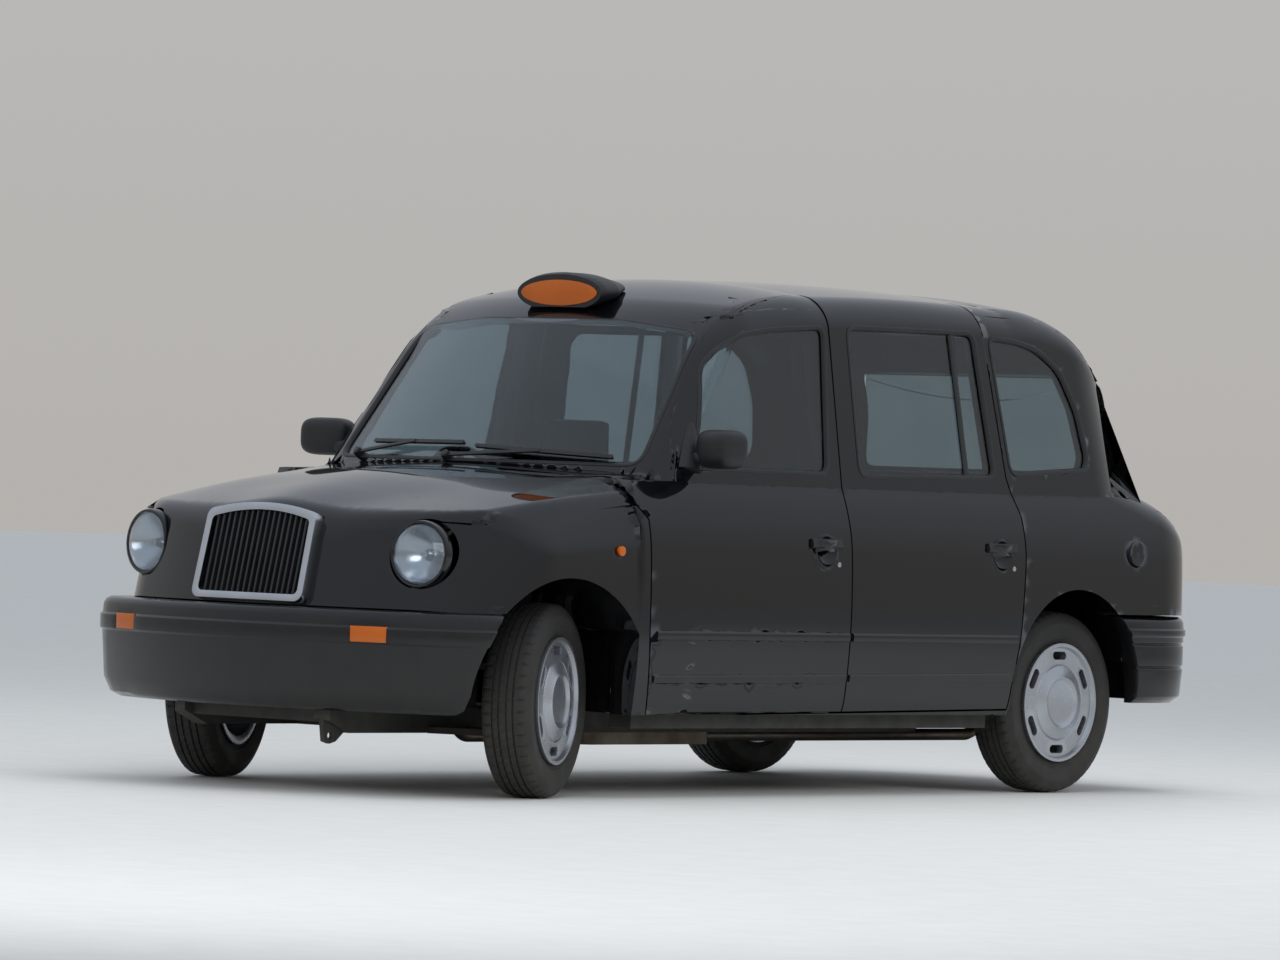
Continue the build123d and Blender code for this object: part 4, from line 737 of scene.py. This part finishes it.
MIRROR_PLACE = (922, FRONT_AXLE + 728, 1213)
head = pod(MIRROR_PLACE, (98, 62, 68), radians(-14))
foot_line = on_side(resampled([(700, 1136), (722, 1225), (748, 1300)], 12))
FOOT = ((-62, -2), (-54, 9), (-20, 26), (14, 24), (34, 9), (40, -2))
foot = swept(foot_line, from_form(foot_line)[1], FOOT, False)
for index, vert in enumerate(foot.verts):
    ring = index // len(FOOT)
    share = ring / (len(foot_line) - 1)
    middle = Vector(foot_line[ring])
    vert.co = middle + (vert.co - middle) * (1 - 0.72 * share)
neck = pod((842, FRONT_AXLE + 716, 1180), (44, 30, 24), radians(-10), 0.8, 14, 24)
both_sides("door_mirror", joined(head, foot, neck), "black_plastic", "front_door_{}", ["mirror_{}"])
glass_place = Vector(MIRROR_PLACE) + Vector((-4, 63, 0))
mirror_glass = pod(glass_place, (82, 2.0, 52), radians(-14), 0.35, 16, 32)
both_sides("door_mirror_glass", mirror_glass, "mirror_glass", "front_door_{}")

# Wipers, parked towards the left side
BLADE = ((-4, 0), (-3, 9), (-7, 14), (7, 14), (3, 9), (4, 0))
ARM = ((-8, 0), (-6, 6), (6, 6), (8, 0))
PIVOT = ((0, 16), (12, 16), (16, 12), (18, -16), (0, -16))
WIPERS = (
    # name, foot and blade's ends, as places across and heights
    ("wiper_right", (-560, 1152), (-500, 1196), (-20, 1200)),
    ("wiper_left", (-70, 1152), (40, 1190), (600, 1166)),
)


def on_screen(points, level):
    """Points on the windscreen at a height over the glass."""
    line = cast(at([(x, 60, z) for x, z in points]), (0, -1, 0), 1500)
    return line + level * from_form(line)[1]


for name, foot_place, start, end in WIPERS:
    blade = on_screen(resampled([start, end], 20), 2)
    middle = ((start[0] + end[0]) / 2, (start[1] + end[1]) / 2)
    arm = on_screen(resampled([foot_place, middle], 20), 13)
    blade_solid = swept(blade, from_form(blade)[1], BLADE, False)
    arm_solid = swept(arm, from_form(arm)[1], ARM, False)
    pivot = turned(PIVOT, arm[0], from_form(arm[:1])[1][0], 32)
    piece(name, joined(blade_solid, arm_solid, pivot), "black_plastic")

# Tyres: a grooved tread, cut shoulders and a ribbed blank wall
TREAD_R = 334
TYRE_WALL = (
    # radius and half width, from the bead to the shoulder
    (205, 58), (210, 68), (224, 76), (236, 80), (238, 82), (242, 82), (244, 81), (262, 86), (282, 87.5),
    (286, 88.4), (292, 88.2), (296, 86.5), (308, 82), (318, 76), (325, 70), (328, 66),
)
TREAD = (
    (330, 60), (331, 52), (331.5, 41), (325, 40), (325, 34),
    (332.5, 33), (333.4, 18), (327, 17), (327, 11), (333.8, 10),
)
half = TYRE_WALL + TREAD
tyre_profile = [*half, (TREAD_R, 0), *[(r, -s) for r, s in reversed(half)], (205, 0), half[0]]
STEPS = 300
for word in ("left", "right"):
    for end in ("front", "rear"):
        node = f"tyre_{end}_{word}"
        low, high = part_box(node)
        joint = next(j for j in frame["joints"] if j["name"] == f"roll_{end}_{word}")
        place, axis = (low + high) * 500, Vector(joint["axis"]).normalized()
        solid = turned(tyre_profile, place, joint["axis"], STEPS)
        solid.verts.index_update()
        for vert in solid.verts:
            out = vert.co - place
            along = out.dot(axis)
            flat = out - axis * along
            step = vert.index % STEPS
            shoulder = abs(along) > 42 and flat.length > 322 and (step + (along > 0)) % 6 == 0
            rib = abs(along) < 34 and flat.length > 331 and (step + int(abs(along) > 15)) % 5 == 0
            if shoulder or rib:
                vert.co -= flat.normalized() * (6 if shoulder else 3)
        bmesh.ops.remove_doubles(solid, verts=solid.verts, dist=0.01)
        piece(node + "_treaded", solid, "tyre_rubber", f"road_wheel_{end}_{word}", [node], 28)

# Seats: foam under cloth, its edges drawn round
for node in ("driver_seat", "rear_bench", "tip_up_seats"):
    raw = frame["nodes"][node].data.copy()
    shape = bpy.data.objects.new(node + "_foam", raw)
    bpy.context.scene.collection.objects.link(shape)
    weld = shape.modifiers.new("weld", "WELD")
    weld.merge_threshold = 0.0002
    remesh = shape.modifiers.new("remesh", "REMESH")
    remesh.mode = "VOXEL"
    remesh.voxel_size = 0.011
    smooth_out = shape.modifiers.new("smooth", "SMOOTH")
    smooth_out.factor = 0.5
    smooth_out.iterations = 16
    settled = bpy.data.meshes.new_from_object(shape.evaluated_get(bpy.context.evaluated_depsgraph_get()))
    bpy.data.objects.remove(shape)
    settled.materials.clear()
    settled.polygons.foreach_set("use_smooth", [True] * len(settled.polygons))
    cushion = mesh_piece(node + "_cushions", settled, MATERIALS["seat_cloth"], BODY_OF[node], node)

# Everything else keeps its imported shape, with its edges eased
EASED = (
    # nodes, edge width in millimetres
    (("front_bumper", "rear_bumper"), 7.0),
    (("grille_surround",), 2.5),
    (("grille_bars", "dashboard", "steering_wheel", "roof_sign"), 1.2),
    (("amber_lamps", "tail_lamps", "partition"), 1.2),
    (("wheel_front_left", "wheel_front_right", "wheel_rear_left", "wheel_rear_right"), 1.2),
)
for nodes, width in EASED:
    for node in nodes:
        row = next(r for r in frame["record"]["subparts"] if r["node"] == node)
        solid = grown(frame["nodes"][node].data, width, radians(38))
        piece(node + "_eased", solid, row["material_slot"], BODY_OF[node], [node])


# Photograph's camera
CAMERA_PLACE = (18.253646, -21.813582, 1.115205)
CAMERA_RIGHT = (0.764441, 0.643656, 0.036557)
CAMERA_UP = (-0.028390, -0.023040, 0.999331)
CAMERA_AHEAD = (-0.644068, 0.764968, -0.000661)
lens = bpy.data.cameras.new("photograph_camera")
lens.sensor_width = 36
lens.lens = 221.304
lens.clip_end = 200
camera = bpy.data.objects.new("photograph_camera", lens)
turn = Matrix((CAMERA_RIGHT, CAMERA_UP, [-v for v in CAMERA_AHEAD])).transposed()
camera.matrix_world = Matrix.Translation(CAMERA_PLACE) @ turn.to_4x4()
bpy.context.scene.collection.objects.link(camera)
bpy.context.scene.camera = camera

# Pale floor, soft lamps and a pale surround
floor_mesh = bpy.data.meshes.new("studio_floor")
REACH = 60
floor_corners = [(-REACH, -REACH, 0), (REACH, -REACH, 0), (REACH, REACH, 0), (-REACH, REACH, 0)]
floor_mesh.from_pydata(floor_corners, [], [(0, 1, 2, 3)])
studio_floor = bpy.data.objects.new("studio_floor", floor_mesh)
bpy.context.scene.collection.objects.link(studio_floor)
floor_paint = finish_material("painted_studio_floor", "#dcdcd8", "#d7d7d3", (0.6, 0.7), 8, 0.05)
floor_mesh.materials.append(floor_paint)

LAMPS = (
    # name, place, width, height, watts
    ("overhead_softbox", (0.5, 0.5, 7.5), 9.0, 6.0, 260),
    ("front_softbox", (5.0, -9.0, 4.0), 5.0, 3.0, 200),
    ("side_softbox", (9.0, 1.0, 4.5), 6.0, 3.0, 200),
)
for name, place, width, height, watts in LAMPS:
    light = bpy.data.lights.new(name, "AREA")
    light.shape = "RECTANGLE"
    light.size = width
    light.size_y = height
    light.energy = watts
    lamp = bpy.data.objects.new(name, light)
    lamp.visible_glossy = False
    lamp.location = place
    lamp.rotation_euler = (Vector((0, 0, 0.8)) - Vector(place)).to_track_quat("-Z", "Y").to_euler()
    bpy.context.scene.collection.objects.link(lamp)

world = bpy.data.worlds.new("pale_surround")
world.use_nodes = True
bpy.context.scene.world = world
sky = world.node_tree
sky.nodes.clear()
path = add(sky, "ShaderNodeLightPath").outputs
# The surround is a little brighter where it is seen or reflected than where it lights
seen = path["Is Camera Ray"]
for ray in ("Is Glossy Ray", "Is Transmission Ray"):
    seen = add(sky, "ShaderNodeMath", {0: seen, 1: path[ray]}, operation="MAXIMUM").outputs[0]
strength = spread(sky, seen, 0.75, 0.85, 0, 1)
direction = add(sky, "ShaderNodeTexCoord").outputs["Generated"]
rise = add(sky, "ShaderNodeSeparateXYZ", {"Vector": direction}).outputs["Z"]
overcast = blend_colours(sky, spread(sky, rise, 0, 1, 0.0, 0.55), "#c3c0bc", "#e6eefa")
backdrop = add(sky, "ShaderNodeBackground", {"Color": overcast, "Strength": strength})
world_out = add(sky, "ShaderNodeOutputWorld")
sky.links.new(backdrop.outputs[0], world_out.inputs["Surface"])
bpy.context.scene.view_settings.view_transform = "Standard"

bpy.context.view_layer.update()
